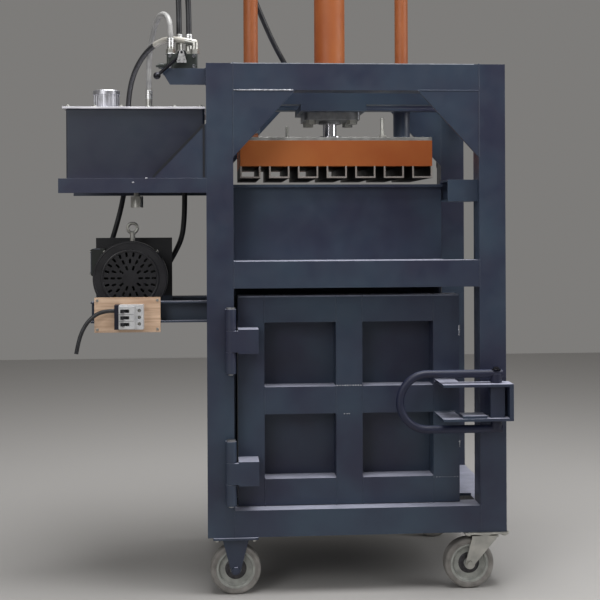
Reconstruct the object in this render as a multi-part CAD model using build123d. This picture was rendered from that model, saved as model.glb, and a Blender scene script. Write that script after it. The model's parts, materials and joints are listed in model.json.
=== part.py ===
from build123d import *
import math
import os

# Metal chip compactor: a vertical hydraulic press in a welded frame of square tube, on casters.
# Working axes, in millimetres: X from the frame's left face to its right, Y from the frame's
# front face to its back, Z up from the floor. The finished model is moved at the end, so that
# its origin is the middle of its footprint on the floor.

# Welded frame
frame_width = 900.0
frame_depth = 680.0
frame_height = 1410.0
tube = 80.0
tube_wall = 5.0
vent_radius = 5.0
caster_height = 175.0
mid_beam_bottom = 915.0
gusset_width = 185.0
gusset_height = 200.0
gusset_thickness = 10.0
side_rail_bottom = 805.0
bracket_rail_width = 60.0
bracket_rail_wall = 4.0

frame_bottom = caster_height
frame_top = frame_bottom + frame_height
inner_left = tube
inner_right = frame_width - tube
rear_face = frame_depth - tube
mid_beam_top = mid_beam_bottom + tube
top_beam_bottom = frame_top - tube
bottom_beam_top = frame_bottom + tube

# Pressing chamber and hopper
chamber_plate = 8.0
chamber_width = 632.0
chamber_left = inner_left + chamber_plate
chamber_right = chamber_left + chamber_width
chamber_front = 133.0
chamber_back = rear_face - chamber_plate
chamber_top = 1227.0
hopper_lip = 20.0
tie_height = 66.0
tie_top = 1238.0
tie_front = 20.0
tie_lap = 12.0
tie_wall = 6.0

# Platen, with its channels below and its two guide tubes above
platen_width = 600.0
platen_clearance = 12.0
platen_height = 80.0
platen_bottom = 1285.0
platen_plate = 10.0
platen_cover = 10.0
channel_count = 7
channel_width = 63.0
channel_height = 37.0
channel_wall = 5.0
stroke = 620.0
guide_diameter = 45.0
guide_wall = 5.0
guide_offset_x = 264.0
guide_offset_y = 160.0
guide_spare = 30.0
sleeve_wall = 6.0
sleeve_length = 196.0
sleeve_lug = 10.0
sleeve_lug_inset = 10.0
running_gap = 0.05
ram_collar_radius = 40.0
ram_collar_height = 16.0
stud_right = 150.0
stud_left = 130.0
stud_inset = 50.0
stud_length = 62.0
stud_radius = 5.0
stud_nut_radius = 13.0
stud_nut_height = 9.0

platen_centre_x = (chamber_left + chamber_right) / 2
platen_front = chamber_front + platen_clearance
platen_back = chamber_back - platen_clearance
platen_centre_y = (platen_front + platen_back) / 2
platen_left = platen_centre_x - platen_width / 2
platen_right = platen_centre_x + platen_width / 2
platen_top = platen_bottom + platen_height
cover_top = platen_top + platen_cover
guide_radius = guide_diameter / 2
sleeve_radius = guide_radius + running_gap + sleeve_wall
sleeve_bottom = frame_top - sleeve_length
guide_top = frame_top + stroke + guide_spare

# Crosshead that carries the cylinder
crosshead_height = 100.0
crosshead_flange = 50.0
crosshead_wall = 8.0
crosshead_spacing = 160.0
mount_plate = 20.0
mount_width = 210.0
mount_depth = 260.0

crosshead_bottom = frame_top - crosshead_height
mount_bottom = crosshead_bottom - mount_plate

# Hydraulic cylinder
bore_radius = 40.0
barrel_radius = 50.0
rod_radius = 22.5
flange_size = 180.0
flange_thickness = 25.0
flange_corner = 12.0
gland_depth = 35.0
piston_length = 40.0
cap_thickness = 30.0
cap_edge = 6.0
end_clearance = 6.0
bolt_radius = 10.0
bolt_spacing = 132.0
bolt_head = 13.0
bolt_head_radius = 17.0
port_radius = 7.0
boss_port_radius = 17.0
boss_length = 18.0
port_height = 80.0
wiper_height = 8.0
wiper_wall = 14.0
boss_lap = 4.0

flange_bottom = mount_bottom - flange_thickness
piston_rest = mount_bottom + gland_depth + end_clearance + stroke
cap_bottom = piston_rest + piston_length + end_clearance
barrel_top = cap_bottom + cap_thickness
lower_port_z = mount_bottom + port_height
upper_port_z = cap_bottom - port_height / 4

# Door
door_width = 675.0
door_height = 632.0
door_depth = 80.0
door_left = inner_left + 12.0
door_bottom = bottom_beam_top + 2.0
door_front = 50.0
stile = 80.0
cross_rail = 82.0
door_wall = 5.0
door_skin = 6.0

door_top = door_bottom + door_height
door_back = door_front + door_depth

# Hinges
hinge_radius = 16.0
hinge_pin_radius = 8.0
hinge_axis_x = 70.0
hinge_axis_y = -17.5
hinge_length = 190.0
knuckle_gap = 0.5
hinge_upper = 665.0
hinge_lower = 275.0
hinge_block_width = 60.0
hinge_block_height = 72.0
hinge_arm = 14.0
pin_head = 5.0
pin_head_radius = 14.0

# Latch
latch_pin_x = 858.0
latch_pin_y = -46.0
latch_pin_radius = 9.0
strap_left = 692.0
strap_right = 902.0
strap_front = -85.0
strap_back = -14.0
strap_plate = 8.0
strap_low = 522.0
strap_gap = 93.0
strap_web = 12.0
strap_foot = 60.0
tongue_left = 752.0
tongue_gap = 4.0
cam_radius = 21.5
cam_nose = 18.0
strike_gap = 0.6
handle_bar = 24.0
handle_bend = 82.0
handle_bend_x = 651.0
handle_end_x = 876.0
boss_radius = 17.0
end_play = 0.4

strap_high = strap_low + strap_plate + strap_gap
cam_bottom = strap_low + strap_plate + end_play
cam_top = strap_high - end_play
handle_centre_z = (strap_low + strap_high + strap_plate) / 2
handle_high = handle_centre_z + handle_bend
handle_low = handle_centre_z - handle_bend

# Oil tank
tank_width = 407.0
tank_height = 207.0
tank_depth = 380.0
tank_wall = 4.0
tank_right = -6.0
tank_front = 22.0
tank_bottom = 1243.0
tank_corner = 6.0
lid_thickness = 6.0
lid_overhang = 10.0
lid_overhang_right = 4.0
bracket_leg = 43.0
bracket_wall = 5.0
bracket_shelf = 60.0
bracket_left = -434.0
brace_width = 158.0
brace_height = 163.0
brace_thickness = 8.0
brace_front = 2.0
cap_radius = 41.0
cap_height = 58.0
cap_rim = 14.0
cap_chamfer = 3.0
cap_centre_x = -302.0
cap_centre_y = 120.0
flute_count = 24
flute_radius = 2.6
skirt_inset = 2.0

tank_top = tank_bottom + tank_height
lid_top = tank_top + lid_thickness
tank_left = tank_right - tank_width
tank_back = tank_front + tank_depth

# Valve on its bracket
valve_arm_length = 133.0
valve_arm_height = 49.0
valve_arm_depth = 110.0
valve_arm_front = 60.0
valve_arm_plate = 8.0
valve_arm_slope = 25.0
valve_centre_x = -72.0
valve_centre_y = 115.0
valve_width = 92.0
valve_depth = 80.0
valve_height = 46.0
valve_corner = 6.0
valve_arm_top = frame_top - 9.0
spool_reach = 21.0
spool_height = 40.0
spool_radius = 15.0
lever_hub = 14.0
lever_hub_radius = 12.0
lever_radius = 5.0
lever_ball = 11.0
lever_length = 98.0
lever_angle = -131.0
relief_radius = 9.0
relief_length = 26.0
relief_height = 14.0
relief_screw = 8.0

# Motor, pump, their mounting plate and rails
motor_x = -231.0
motor_z = 944.0
motor_radius = 92.0
motor_front = 84.0
cowl_length = 56.0
cowl_radius = 112.0
cowl_wall = 2.5
shield_thickness = 12.0
shield_step = 6.0
body_length = 113.0
motor_flange = 14.0
motor_flange_step = 10.0
motor_plate_thickness = 10.0
motor_plate_size = 240.0
fan_blades = 7
blade_middle = 60.0
blade_length = 76.0
blade_thickness = 4.0
fan_hub = 26.0
fan_depth = 24.0
fan_gap = 8.0
seat_ring = 6.0
shaft_overhang = 6.0
shaft_gap = 10.0
slot_length = 15.0
slot_width = 7.0
grille_rings = ((32.0, 10), (52.0, 16), (72.0, 22))
terminal_reach = 20.0
terminal_lap = 10.0
terminal_end = 8.0
terminal_low = 4.0
terminal_high = 88.0
terminal_edge = 6.0
terminal_gap = 0.2
eye_height = 46.0
eye_ring = 15.0
eye_bar = 4.5
eye_stem = 8.0
eye_seat = 2.0
fin_count = 36
fin_height = 13.0
fin_thickness = 3.0
fin_root = 1.0
shaft_radius = 12.0
rail_height = 63.0
rail_flange = 40.0
rail_wall = 5.0
rail_left = -345.0
rail_drop = 68.0
front_rail_y = 40.0
bell_length = 60.0
bell_radius = 62.0
bell_wall = 14.0
bell_face = 12.0
pump_length = 95.0
pump_half_width = 44.0
pump_half_height = 50.0
pump_port = 12.0
pump_port_radius = 17.0
pump_port_lap = 4.0
pump_corner = 20.0

rail_top = motor_z - rail_drop
body_front = motor_front + cowl_length + shield_thickness
motor_plate_y = body_front + body_length + motor_flange
rear_rail_y = motor_plate_y + motor_plate_thickness
pump_front = rear_rail_y + bell_length
pump_port_y = pump_front + pump_length / 2

# Breaker on its board
board_left = -333.0
board_right = -138.0
board_bottom = 786.0
board_top = 890.0
board_thickness = 12.0
breaker_left = -271.0
breaker_length = 85.0
breaker_height = 72.0
breaker_bottom = 798.0
breaker_depth = 62.0
pole_count = 3
pole_pitch = 19.5
toggle_angle = -25.0
breaker_shoulder = 44.0
nose_left = 14.0
nose_right = 26.0
nose_inset = 3.0
pivot_inset_x = 32.0
pivot_inset_y = 11.0
slot_half = 13.0
pole_slot = 10.0
drum_clearance = 0.3
drum_radius = 8.0
stalk_half = 3.5
stalk_reach = 22.0
terminal_inset = 12.0
terminal_radius = 5.0

# Casters
wheel_radius = 75.0
wheel_width = 44.0
tyre_thickness = 17.0
tyre_edge = 7.0
rim_inset = 3.0
rim_flange = 7.0
hub_gap = 0.5
axle_nut_radius = 11.0
axle_nut_height = 8.0
axle_radius = 6.0
caster_plate_x = 135.0
caster_plate_y = 100.0
caster_plate_thickness = 6.0
caster_trail = 48.0
fork_plate = 5.0
fork_gap = 3.0
race_height = 9.0
race_radius = 34.0
race_step = 4.0
race_gap = 0.3
lower_race_inset = 3.0
kingpin_head = 3.0
caster_bolt_x = 110.0
caster_bolt_y = 76.0
caster_bolt_radius = 5.0
caster_head = 5.0
caster_head_radius = 8.0
caster_plate_corner = 8.0
kingpin_radius = 8.0
crown_half = 40.0
leg_end = 15.0
dish_depth = 20.0
hub_radius = 16.0
caster_inset_y = 42.0
left_caster_x = 83.0
right_caster_x = frame_width - 62.0

# Hoses and the supply cable, with the fittings that they end in
hose_radius = 8.5
cable_radius = 6.0
ferrule_radius = 10.5
nut_radius = 14.0
nut_length = 16.0
return_port_x = -107.0
pressure_port_x = -33.0
front_port_y = 95.0
lower_line_x = -52.0
upper_line_x = -82.0
rear_port_y = 138.0
lid_port_x = -181.0
lid_port_y = 260.0
suction_x = -71.0
suction_y = 318.0
drain_x = -211.0
drain_y = 110.0
drain_bottom = 1158.0
drain_height = 34.0
drain_radius = 19.0
drain_neck = 9.0
suction_drop = 30.0
outlet_length = 30.0
lead = 60.0
long_lead = 75.0
short_lead = 36.0
pressure_lead = 47.0
cable_lead = 28.0
return_top = 1672.0
pressure_top = 1658.0
line_top = 1690.0
lid_fitting_top = 1531.0
pressure_heading = (-0.92, 0.32, 0.22)
inlet_heading = (0.45, -0.48, 0.75)
delivery_heading = (0.0, 0.0, 1.0)
lower_heading = (-0.5, 0.0, 0.866)
upper_heading = (-0.966, 0.0, 0.259)

valve_top = valve_arm_top + valve_height


def block(x0, x1, y0, y1, z0, z1):
    """A box between two corners."""
    return Pos((x0 + x1) / 2, (y0 + y1) / 2, (z0 + z1) / 2) * Box(x1 - x0, y1 - y0, z1 - z0)


def upright(x, y, z0, z1, radius):
    """A round bar along Z."""
    return Pos(x, y, (z0 + z1) / 2) * Cylinder(radius, z1 - z0)


def lengthways(x, z, y0, y1, radius):
    """A round bar along Y."""
    return Pos(x, (y0 + y1) / 2, z) * Rot(90, 0, 0) * Cylinder(radius, y1 - y0)


def crossways(y, z, x0, x1, radius):
    """A round bar along X."""
    return Pos((x0 + x1) / 2, y, z) * Rot(0, 90, 0) * Cylinder(radius, x1 - x0)


def hexagon(x, y, z0, radius, height):
    """A hexagon nut or bolt head along Z."""
    return Pos(x, y, z0) * extrude(RegularPolygon(radius, 6), amount=height)


def tube_x(x0, x1, y0, z0, width=tube, height=tube, wall=tube_wall):
    """A length of rectangular tube along X, open at both ends."""
    outer = block(x0, x1, y0, y0 + width, z0, z0 + height)
    return outer - block(x0 - 1, x1 + 1, y0 + wall, y0 + width - wall, z0 + wall, z0 + height - wall)


def tube_y(y0, y1, x0, z0, width=tube, height=tube, wall=tube_wall):
    """A length of rectangular tube along Y, open at both ends."""
    outer = block(x0, x0 + width, y0, y1, z0, z0 + height)
    return outer - block(x0 + wall, x0 + width - wall, y0 - 1, y1 + 1, z0 + wall, z0 + height - wall)


def post(x0, y0):
    """A corner post with welded end caps and a vent hole in the lower one."""
    outer = block(x0, x0 + tube, y0, y0 + tube, frame_bottom, frame_top)
    hollow = block(
        x0 + tube_wall, x0 + tube - tube_wall,
        y0 + tube_wall, y0 + tube - tube_wall,
        frame_bottom + tube_wall, frame_top - tube_wall,
    )
    vent = upright(x0 + tube / 2, y0 + tube / 2, frame_bottom - 1, frame_bottom + tube_wall + 1, vent_radius)
    return outer - hollow - vent


def plate_xz(points, y0, thickness):
    """A flat plate cut to an outline in X and Z, its front face at y0."""
    wire = Polyline(*[(x, 0, z) for x, z in points], close=True)
    return Pos(0, y0, 0) * extrude(make_face(wire), amount=thickness, dir=(0, 1, 0))


nodes = {}


def add(name, *solids):
    """Keep the solids of one node under its name."""
    nodes[name] = list(solids)


def frame_nodes():
    """Posts, beams and corner gussets of the welded frame."""
    add("corner_posts", *[post(x, y) for x in (0, inner_right) for y in (0, rear_face)])
    levels = (frame_bottom, mid_beam_bottom, top_beam_bottom)
    add("cross_beams", *[tube_x(inner_left, inner_right, y, z) for y in (0, rear_face) for z in levels])
    rails = [
        tube_y(tube, rear_face, x, z)
        for x in (0, inner_right)
        for z in (frame_bottom, top_beam_bottom)
    ]
    rails.append(tube_y(tube, rear_face, 0, side_rail_bottom))
    rails.append(tube_y(tube, rear_face, 0, tank_bottom - bracket_leg,
                        width=bracket_rail_width, height=bracket_leg, wall=bracket_rail_wall))
    add("side_rails", *rails)
    gussets = []
    for y0 in (0, rear_face):
        for corner, reach in ((inner_left, gusset_width), (inner_right, -gusset_width)):
            outline = [
                (corner, top_beam_bottom),
                (corner + reach, top_beam_bottom),
                (corner, top_beam_bottom - gusset_height),
            ]
            gussets.append(plate_xz(outline, y0, gusset_thickness))
    add("corner_gussets", *gussets)


def chamber_nodes():
    """Sheet walls and floor of the pressing chamber, and the hopper plate over the door."""
    floor_top = bottom_beam_top + chamber_plate
    outer_right = chamber_right + chamber_plate
    left = block(inner_left, chamber_left, chamber_front, rear_face, floor_top, chamber_top)
    right = block(chamber_right, outer_right, chamber_front, rear_face, floor_top, chamber_top)
    back = block(chamber_left, chamber_right, chamber_back, rear_face, floor_top, chamber_top)
    floor = block(inner_left, inner_right, chamber_front, rear_face, bottom_beam_top, floor_top)
    add("chamber_walls", left, right, back, floor)
    sheet_front = chamber_front - chamber_plate
    shelf_bottom = mid_beam_top - chamber_plate
    profile = [
        (tube, shelf_bottom),
        (tube, mid_beam_top),
        (sheet_front, mid_beam_top),
        (sheet_front, chamber_top - chamber_plate),
        (sheet_front - hopper_lip, chamber_top - chamber_plate),
        (sheet_front - hopper_lip, chamber_top),
        (chamber_front, chamber_top),
        (chamber_front, shelf_bottom),
    ]
    wire = Polyline(*[(inner_left, y, z) for y, z in profile], close=True)
    sheet = extrude(make_face(wire), amount=outer_right - inner_left, dir=(1, 0, 0))
    tie_bottom = tie_top - tie_height
    tie_back = chamber_front + tie_lap
    tie = block(outer_right, inner_right, tie_front, tie_back, tie_bottom, tie_top)
    tie -= block(outer_right - 1, inner_right + 1, tie_front + tie_wall, tie_back - tie_wall,
                 tie_bottom + tie_wall, tie_top - tie_wall)
    add("hopper_front", sheet, tie)


def platen_nodes():
    """The orange platen, the channels under it, its guide tubes and the ram."""
    tray = block(platen_left, platen_right, platen_front, platen_back, platen_bottom, platen_top)
    half_x = (platen_width - 3 * platen_plate) / 2
    half_y = (platen_back - platen_front - 3 * platen_plate) / 2
    for i in (0, 1):
        for j in (0, 1):
            x0 = platen_left + platen_plate + i * (half_x + platen_plate)
            y0 = platen_front + platen_plate + j * (half_y + platen_plate)
            tray -= block(x0, x0 + half_x, y0, y0 + half_y, platen_bottom + platen_plate, platen_top + 1)
    cover = block(platen_left, platen_right, platen_front, platen_back, platen_top, cover_top)
    add("platen_box", tray)
    add("platen_cover", cover)
    channels = []
    pitch = (platen_width - channel_width) / (channel_count - 1)
    for i in range(channel_count):
        x0 = platen_left + i * pitch
        z0 = platen_bottom - channel_height
        outer = block(x0, x0 + channel_width, platen_front, platen_back, z0, platen_bottom)
        groove = block(x0 + channel_wall, x0 + channel_width - channel_wall,
                       platen_front - 1, platen_back + 1, z0 + channel_wall, platen_bottom + 1)
        channels.append(outer - groove)
    add("platen_channels", *channels)
    tubes = []
    for side in (-1, 1):
        x, y = platen_centre_x + side * guide_offset_x, platen_centre_y + side * guide_offset_y
        bar = upright(x, y, cover_top, guide_top, guide_radius)
        tubes.append(bar - upright(x, y, cover_top - 1, guide_top - guide_wall, guide_radius - guide_wall))
    add("guide_tubes", *tubes)
    x, y = platen_centre_x, platen_centre_y
    ram = upright(x, y, cover_top, piston_rest + piston_length, rod_radius)
    ram += upright(x, y, cover_top, cover_top + ram_collar_height, ram_collar_radius)
    piston = upright(x, y, piston_rest, piston_rest + piston_length, bore_radius - running_gap)
    piston -= upright(x, y, piston_rest - 1, piston_rest + piston_length + 1, rod_radius)
    add("piston_rod", ram, piston)
    studs = []
    for dx, sy in ((stud_right, platen_front + stud_inset), (-stud_left, platen_back - stud_inset)):
        nut = hexagon(x + dx, sy, cover_top, stud_nut_radius, stud_nut_height)
        studs.append(nut + upright(x + dx, sy, cover_top, cover_top + stud_length, stud_radius))
    add("platen_studs", *studs)


def crosshead_nodes():
    """Channels between the side rails, the cylinder's mounting plate and the guide sleeves."""
    cx, cy = platen_centre_x, platen_centre_y
    channels = []
    for side in (-1, 1):
        web_y = cy + side * (crosshead_spacing / 2 + crosshead_flange)
        y0, y1 = sorted((web_y, web_y - side * crosshead_flange))
        outer = block(inner_left, inner_right, y0, y1, crosshead_bottom, frame_top)
        g0, g1 = sorted((web_y - side * crosshead_wall, web_y - side * (crosshead_flange + 1)))
        groove = block(inner_left - 1, inner_right + 1, g0, g1,
                       crosshead_bottom + crosshead_wall, frame_top - crosshead_wall)
        channels.append(outer - groove)
    plate = block(cx - mount_width / 2, cx + mount_width / 2, cy - mount_depth / 2, cy + mount_depth / 2,
                  mount_bottom, crosshead_bottom)
    plate -= upright(cx, cy, mount_bottom - 1, crosshead_bottom + 1, barrel_radius)
    for x, y in flange_bolts():
        plate -= upright(x, y, mount_bottom - 1, crosshead_bottom + 1, bolt_radius)
    add("crosshead", plate, *channels)
    sleeves = []
    for side in (-1, 1):
        x, y = cx + side * guide_offset_x, cy + side * guide_offset_y
        sleeve = upright(x, y, sleeve_bottom, frame_top, sleeve_radius)
        web_y = cy + side * (crosshead_spacing / 2 + crosshead_flange)
        y0, y1 = sorted((web_y, y))
        for z in (frame_top - sleeve_lug_inset - sleeve_lug, crosshead_bottom + sleeve_lug_inset):
            sleeve += block(x - sleeve_radius, x + sleeve_radius, y0, y1, z, z + sleeve_lug)
        sleeves.append(sleeve - upright(x, y, sleeve_bottom - 1, frame_top + 1, guide_radius + running_gap))
    add("guide_sleeves", *sleeves)


def flange_bolts():
    """Centres of the four bolts that hold the cylinder."""
    half = bolt_spacing / 2
    return [(platen_centre_x + dx * half, platen_centre_y + dy * half) for dx in (-1, 1) for dy in (-1, 1)]


def cylinder_nodes():
    """Barrel with its welded cap and ports, and the gland flange below it."""
    cx, cy = platen_centre_x, platen_centre_y
    barrel = upright(cx, cy, mount_bottom, barrel_top, barrel_radius)
    barrel = fillet(barrel.edges().group_by(Axis.Z)[-1], cap_edge)
    barrel -= upright(cx, cy, mount_bottom - 1, cap_bottom, bore_radius)
    boss_end = cx - barrel_radius - boss_length
    for z in (lower_port_z, upper_port_z):
        barrel += crossways(cy, z, boss_end, cx - bore_radius - boss_lap, boss_port_radius)
        barrel -= crossways(cy, z, boss_end - 1, cx - bore_radius + 1, port_radius)
    add("cylinder_barrel", barrel)
    half = flange_size / 2
    flange = block(cx - half, cx + half, cy - half, cy + half, flange_bottom, mount_bottom)
    flange = fillet(flange.edges().filter_by(Axis.Z), flange_corner)
    flange += upright(cx, cy, mount_bottom, mount_bottom + gland_depth, bore_radius)
    flange += upright(cx, cy, flange_bottom - wiper_height, flange_bottom, rod_radius + wiper_wall)
    flange -= upright(cx, cy, flange_bottom - wiper_height - 1, mount_bottom + gland_depth + 1,
                      rod_radius + running_gap)
    for x, y in flange_bolts():
        flange -= upright(x, y, flange_bottom - 1, mount_bottom + 1, bolt_radius)
    add("cylinder_gland", flange)


def door_nodes():
    """Door of square tube with four sheeted windows, its hinges and their pins."""
    window_width = (door_width - 3 * stile) / 2
    window_height = (door_height - 2 * stile - cross_rail) / 2
    bars = []
    for i in range(3):
        x0 = door_left + i * (window_width + stile)
        outer = block(x0, x0 + stile, door_front, door_back, door_bottom, door_top)
        hollow = block(x0 + door_wall, x0 + stile - door_wall, door_front + door_wall, door_back - door_wall,
                       door_bottom + door_wall, door_top - door_wall)
        vent = upright(x0 + stile / 2, (door_front + door_back) / 2,
                       door_bottom - 1, door_bottom + door_wall + 1, vent_radius)
        bars.append(outer - hollow - vent)
    panels = []
    for i in (0, 1):
        x0 = door_left + stile + i * (window_width + stile)
        x1 = x0 + window_width
        levels = (
            (door_bottom, stile),
            (door_bottom + stile + window_height, cross_rail),
            (door_top - stile, stile),
        )
        for z0, height in levels:
            bars.append(tube_x(x0, x1, door_front, z0, width=door_depth, height=height, wall=door_wall))
        for z0 in (door_bottom + stile, door_top - stile - window_height):
            panels.append(block(x0, x1, door_back - door_skin, door_back, z0, z0 + window_height))
    add("door_frame", *bars)
    add("door_panels", *panels)
    fixed, moving, pins = [], [], []
    third = (hinge_length - 2 * knuckle_gap) / 3
    ax, ay = hinge_axis_x, hinge_axis_y
    hole = hinge_pin_radius + running_gap
    for z0 in (hinge_lower, hinge_upper):
        for i in (0, 2):
            k0 = z0 + i * (third + knuckle_gap)
            knuckle = upright(ax, ay, k0, k0 + third, hinge_radius)
            weld = block(ax - hinge_radius, ax, ay, 0, k0, k0 + third)
            fixed.append(knuckle + weld - upright(ax, ay, k0 - 1, k0 + third + 1, hole))
        k0 = z0 + third + knuckle_gap
        knuckle = upright(ax, ay, k0, k0 + third, hinge_radius)
        arm = block(ax, door_left + hinge_block_width, ay - hinge_radius, ay - hinge_radius + hinge_arm,
                    k0, k0 + third)
        middle = k0 + third / 2
        pad = block(door_left, door_left + hinge_block_width, ay - hinge_radius, door_front,
                    middle - hinge_block_height / 2, middle + hinge_block_height / 2)
        moving.append(knuckle + arm + pad - upright(ax, ay, k0 - 1, k0 + third + 1, hole))
        pin = upright(ax, ay, z0 - pin_head, z0 + hinge_length, hinge_pin_radius)
        pin += upright(ax, ay, z0 + hinge_length, z0 + hinge_length + pin_head, pin_head_radius)
        pins.append(pin)
    add("frame_hinges", *fixed)
    add("door_hinges", *moving)
    add("hinge_pins", *pins)


def latch_nodes():
    """Strap on the door, the cam between its plates and the U-shaped handle that turns it."""
    px, py = latch_pin_x, latch_pin_y
    hole = latch_pin_radius + running_gap
    plates = []
    for z0 in (strap_low, strap_high):
        plate = block(strap_left, strap_right, strap_front, strap_back, z0, z0 + strap_plate)
        plate += block(strap_left, strap_left + strap_foot, strap_back, door_front, z0, z0 + strap_plate)
        plates.append(plate - upright(px, py, z0 - 1, z0 + strap_plate + 1, hole))
    web = block(strap_right - strap_web, strap_right, strap_front, strap_back,
                strap_low + strap_plate, strap_high)
    shelf = strap_low + strap_plate
    cam_swing = math.hypot(cam_radius, cam_radius)
    tongue = block(tongue_left, px - cam_swing - tongue_gap, strap_front + tongue_gap, strap_back,
                   shelf, shelf + strap_plate)
    add("latch_strap", plates[0] + plates[1] + web + tongue)
    cam = upright(px, py, cam_bottom, cam_top, cam_radius)
    cam += block(px - cam_radius, px + cam_radius, py - cam_radius, py, cam_bottom, cam_top)
    nose_reach = math.sqrt((-py - strike_gap) ** 2 - (cam_nose / 2) ** 2)
    nose_bottom = shelf + strap_plate + tongue_gap
    cam += block(px - cam_nose / 2, px + cam_nose / 2, py, py + nose_reach, nose_bottom, cam_top)
    cam -= upright(px, py, cam_bottom - 1, cam_top + 1, latch_pin_radius)
    add("latch_cam", cam)
    path = Polyline((handle_end_x, py, handle_high), (handle_bend_x, py, handle_high))
    path += ThreePointArc(
        (handle_bend_x, py, handle_high),
        (handle_bend_x - handle_bend, py, handle_centre_z),
        (handle_bend_x, py, handle_low),
    )
    path += Polyline((handle_bend_x, py, handle_low), (handle_end_x, py, handle_low))
    start = Plane(origin=(handle_end_x, py, handle_high), z_dir=(-1, 0, 0))
    bar = sweep(start * Circle(handle_bar / 2), path=path)
    bar += upright(px, py, strap_high + strap_plate + end_play, handle_high, boss_radius)
    bar += upright(px, py, handle_low, strap_low - end_play, boss_radius)
    bar -= upright(px, py, handle_low, handle_high, latch_pin_radius)
    pin = upright(px, py, handle_low, handle_high, latch_pin_radius)
    add("latch_handle", bar, pin)


def tank_nodes():
    """Oil tank on its angle brackets, its lid, breather and brace."""
    tank = block(tank_left, tank_right, tank_front, tank_back, tank_bottom, tank_top)
    tank = fillet(tank.edges().filter_by(Axis.Z), tank_corner)
    tank -= block(tank_left + tank_wall, tank_right - tank_wall,
                  tank_front + tank_wall, tank_back - tank_wall, tank_bottom + tank_wall, tank_top + 1)
    add("oil_tank", tank)
    lid = block(tank_left - lid_overhang, tank_right + lid_overhang_right,
                tank_front - lid_overhang, tank_back + lid_overhang, tank_top, lid_top)
    add("tank_lid", lid)
    brackets = []
    for y0, side in ((0.0, 1), (tank_back, -1)):
        outline = [
            (y0, tank_bottom - bracket_leg), (y0, tank_bottom), (y0 + side * bracket_shelf, tank_bottom),
            (y0 + side * bracket_shelf, tank_bottom - bracket_wall),
            (y0 + side * bracket_wall, tank_bottom - bracket_wall),
            (y0 + side * bracket_wall, tank_bottom - bracket_leg),
        ]
        wire = Polyline(*[(bracket_left, y, z) for y, z in outline], close=True)
        brackets.append(extrude(make_face(wire), amount=-bracket_left, dir=(1, 0, 0)))
    outline = [(0, tank_bottom), (-brace_width, tank_bottom), (0, tank_bottom + brace_height)]
    brackets.append(plate_xz(outline, brace_front, brace_thickness))
    add("tank_brackets", *brackets)
    body_height = cap_height - cap_rim
    flutes = [Rot(0, 0, 360.0 * i / flute_count) * Pos(cap_radius - skirt_inset / 2, 0) * Circle(flute_radius)
              for i in range(flute_count)]
    cup = extrude(Circle(cap_radius - skirt_inset) - flutes, amount=body_height)
    cup += upright(0, 0, body_height, cap_height, cap_radius)
    cup = chamfer(cup.faces().sort_by(Axis.Z)[-1].edges(), cap_chamfer)
    add("breather_cap", Pos(cap_centre_x, cap_centre_y, lid_top) * cup)


def valve_nodes():
    """Hand valve on its bracket arm, with its relief valve and lever."""
    top, front = valve_arm_top, valve_arm_front
    outline = [
        (0, top), (-valve_arm_length, top), (-valve_arm_length, top - valve_arm_plate),
        (-valve_arm_length + valve_arm_slope, top - valve_arm_height), (0, top - valve_arm_height),
    ]
    web = plate_xz(outline, front, valve_arm_plate)
    shelf = block(-valve_arm_length, 0, front, front + valve_arm_depth, top - valve_arm_plate, top)
    add("valve_arm", web + shelf)
    x, y = valve_centre_x, valve_centre_y
    body = block(x - valve_width / 2, x + valve_width / 2, y - valve_depth / 2, y + valve_depth / 2,
                 top, valve_top)
    body = fillet(body.edges().filter_by(Axis.Z), valve_corner)
    face_y = y - valve_depth / 2
    hub_y = face_y - spool_reach
    body += lengthways(x, top + spool_height, hub_y, face_y, spool_radius)
    side = x - valve_width / 2
    relief = crossways(y, top + relief_height, side - relief_length, side, relief_radius)
    relief += crossways(y, top + relief_height, side - relief_length - relief_screw, side - relief_length,
                        relief_radius / 2)
    add("valve_body", body, relief)
    swing = Pos(x, hub_y - lever_hub / 2, top + spool_height) * Rot(0, lever_angle, 0)
    lever = lengthways(x, top + spool_height, hub_y - lever_hub, hub_y, lever_hub_radius)
    lever += swing * Pos(0, 0, lever_length / 2) * Cylinder(lever_radius, lever_length)
    lever += swing * Pos(0, 0, lever_length) * Sphere(lever_ball)
    add("valve_lever", lever)


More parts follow.
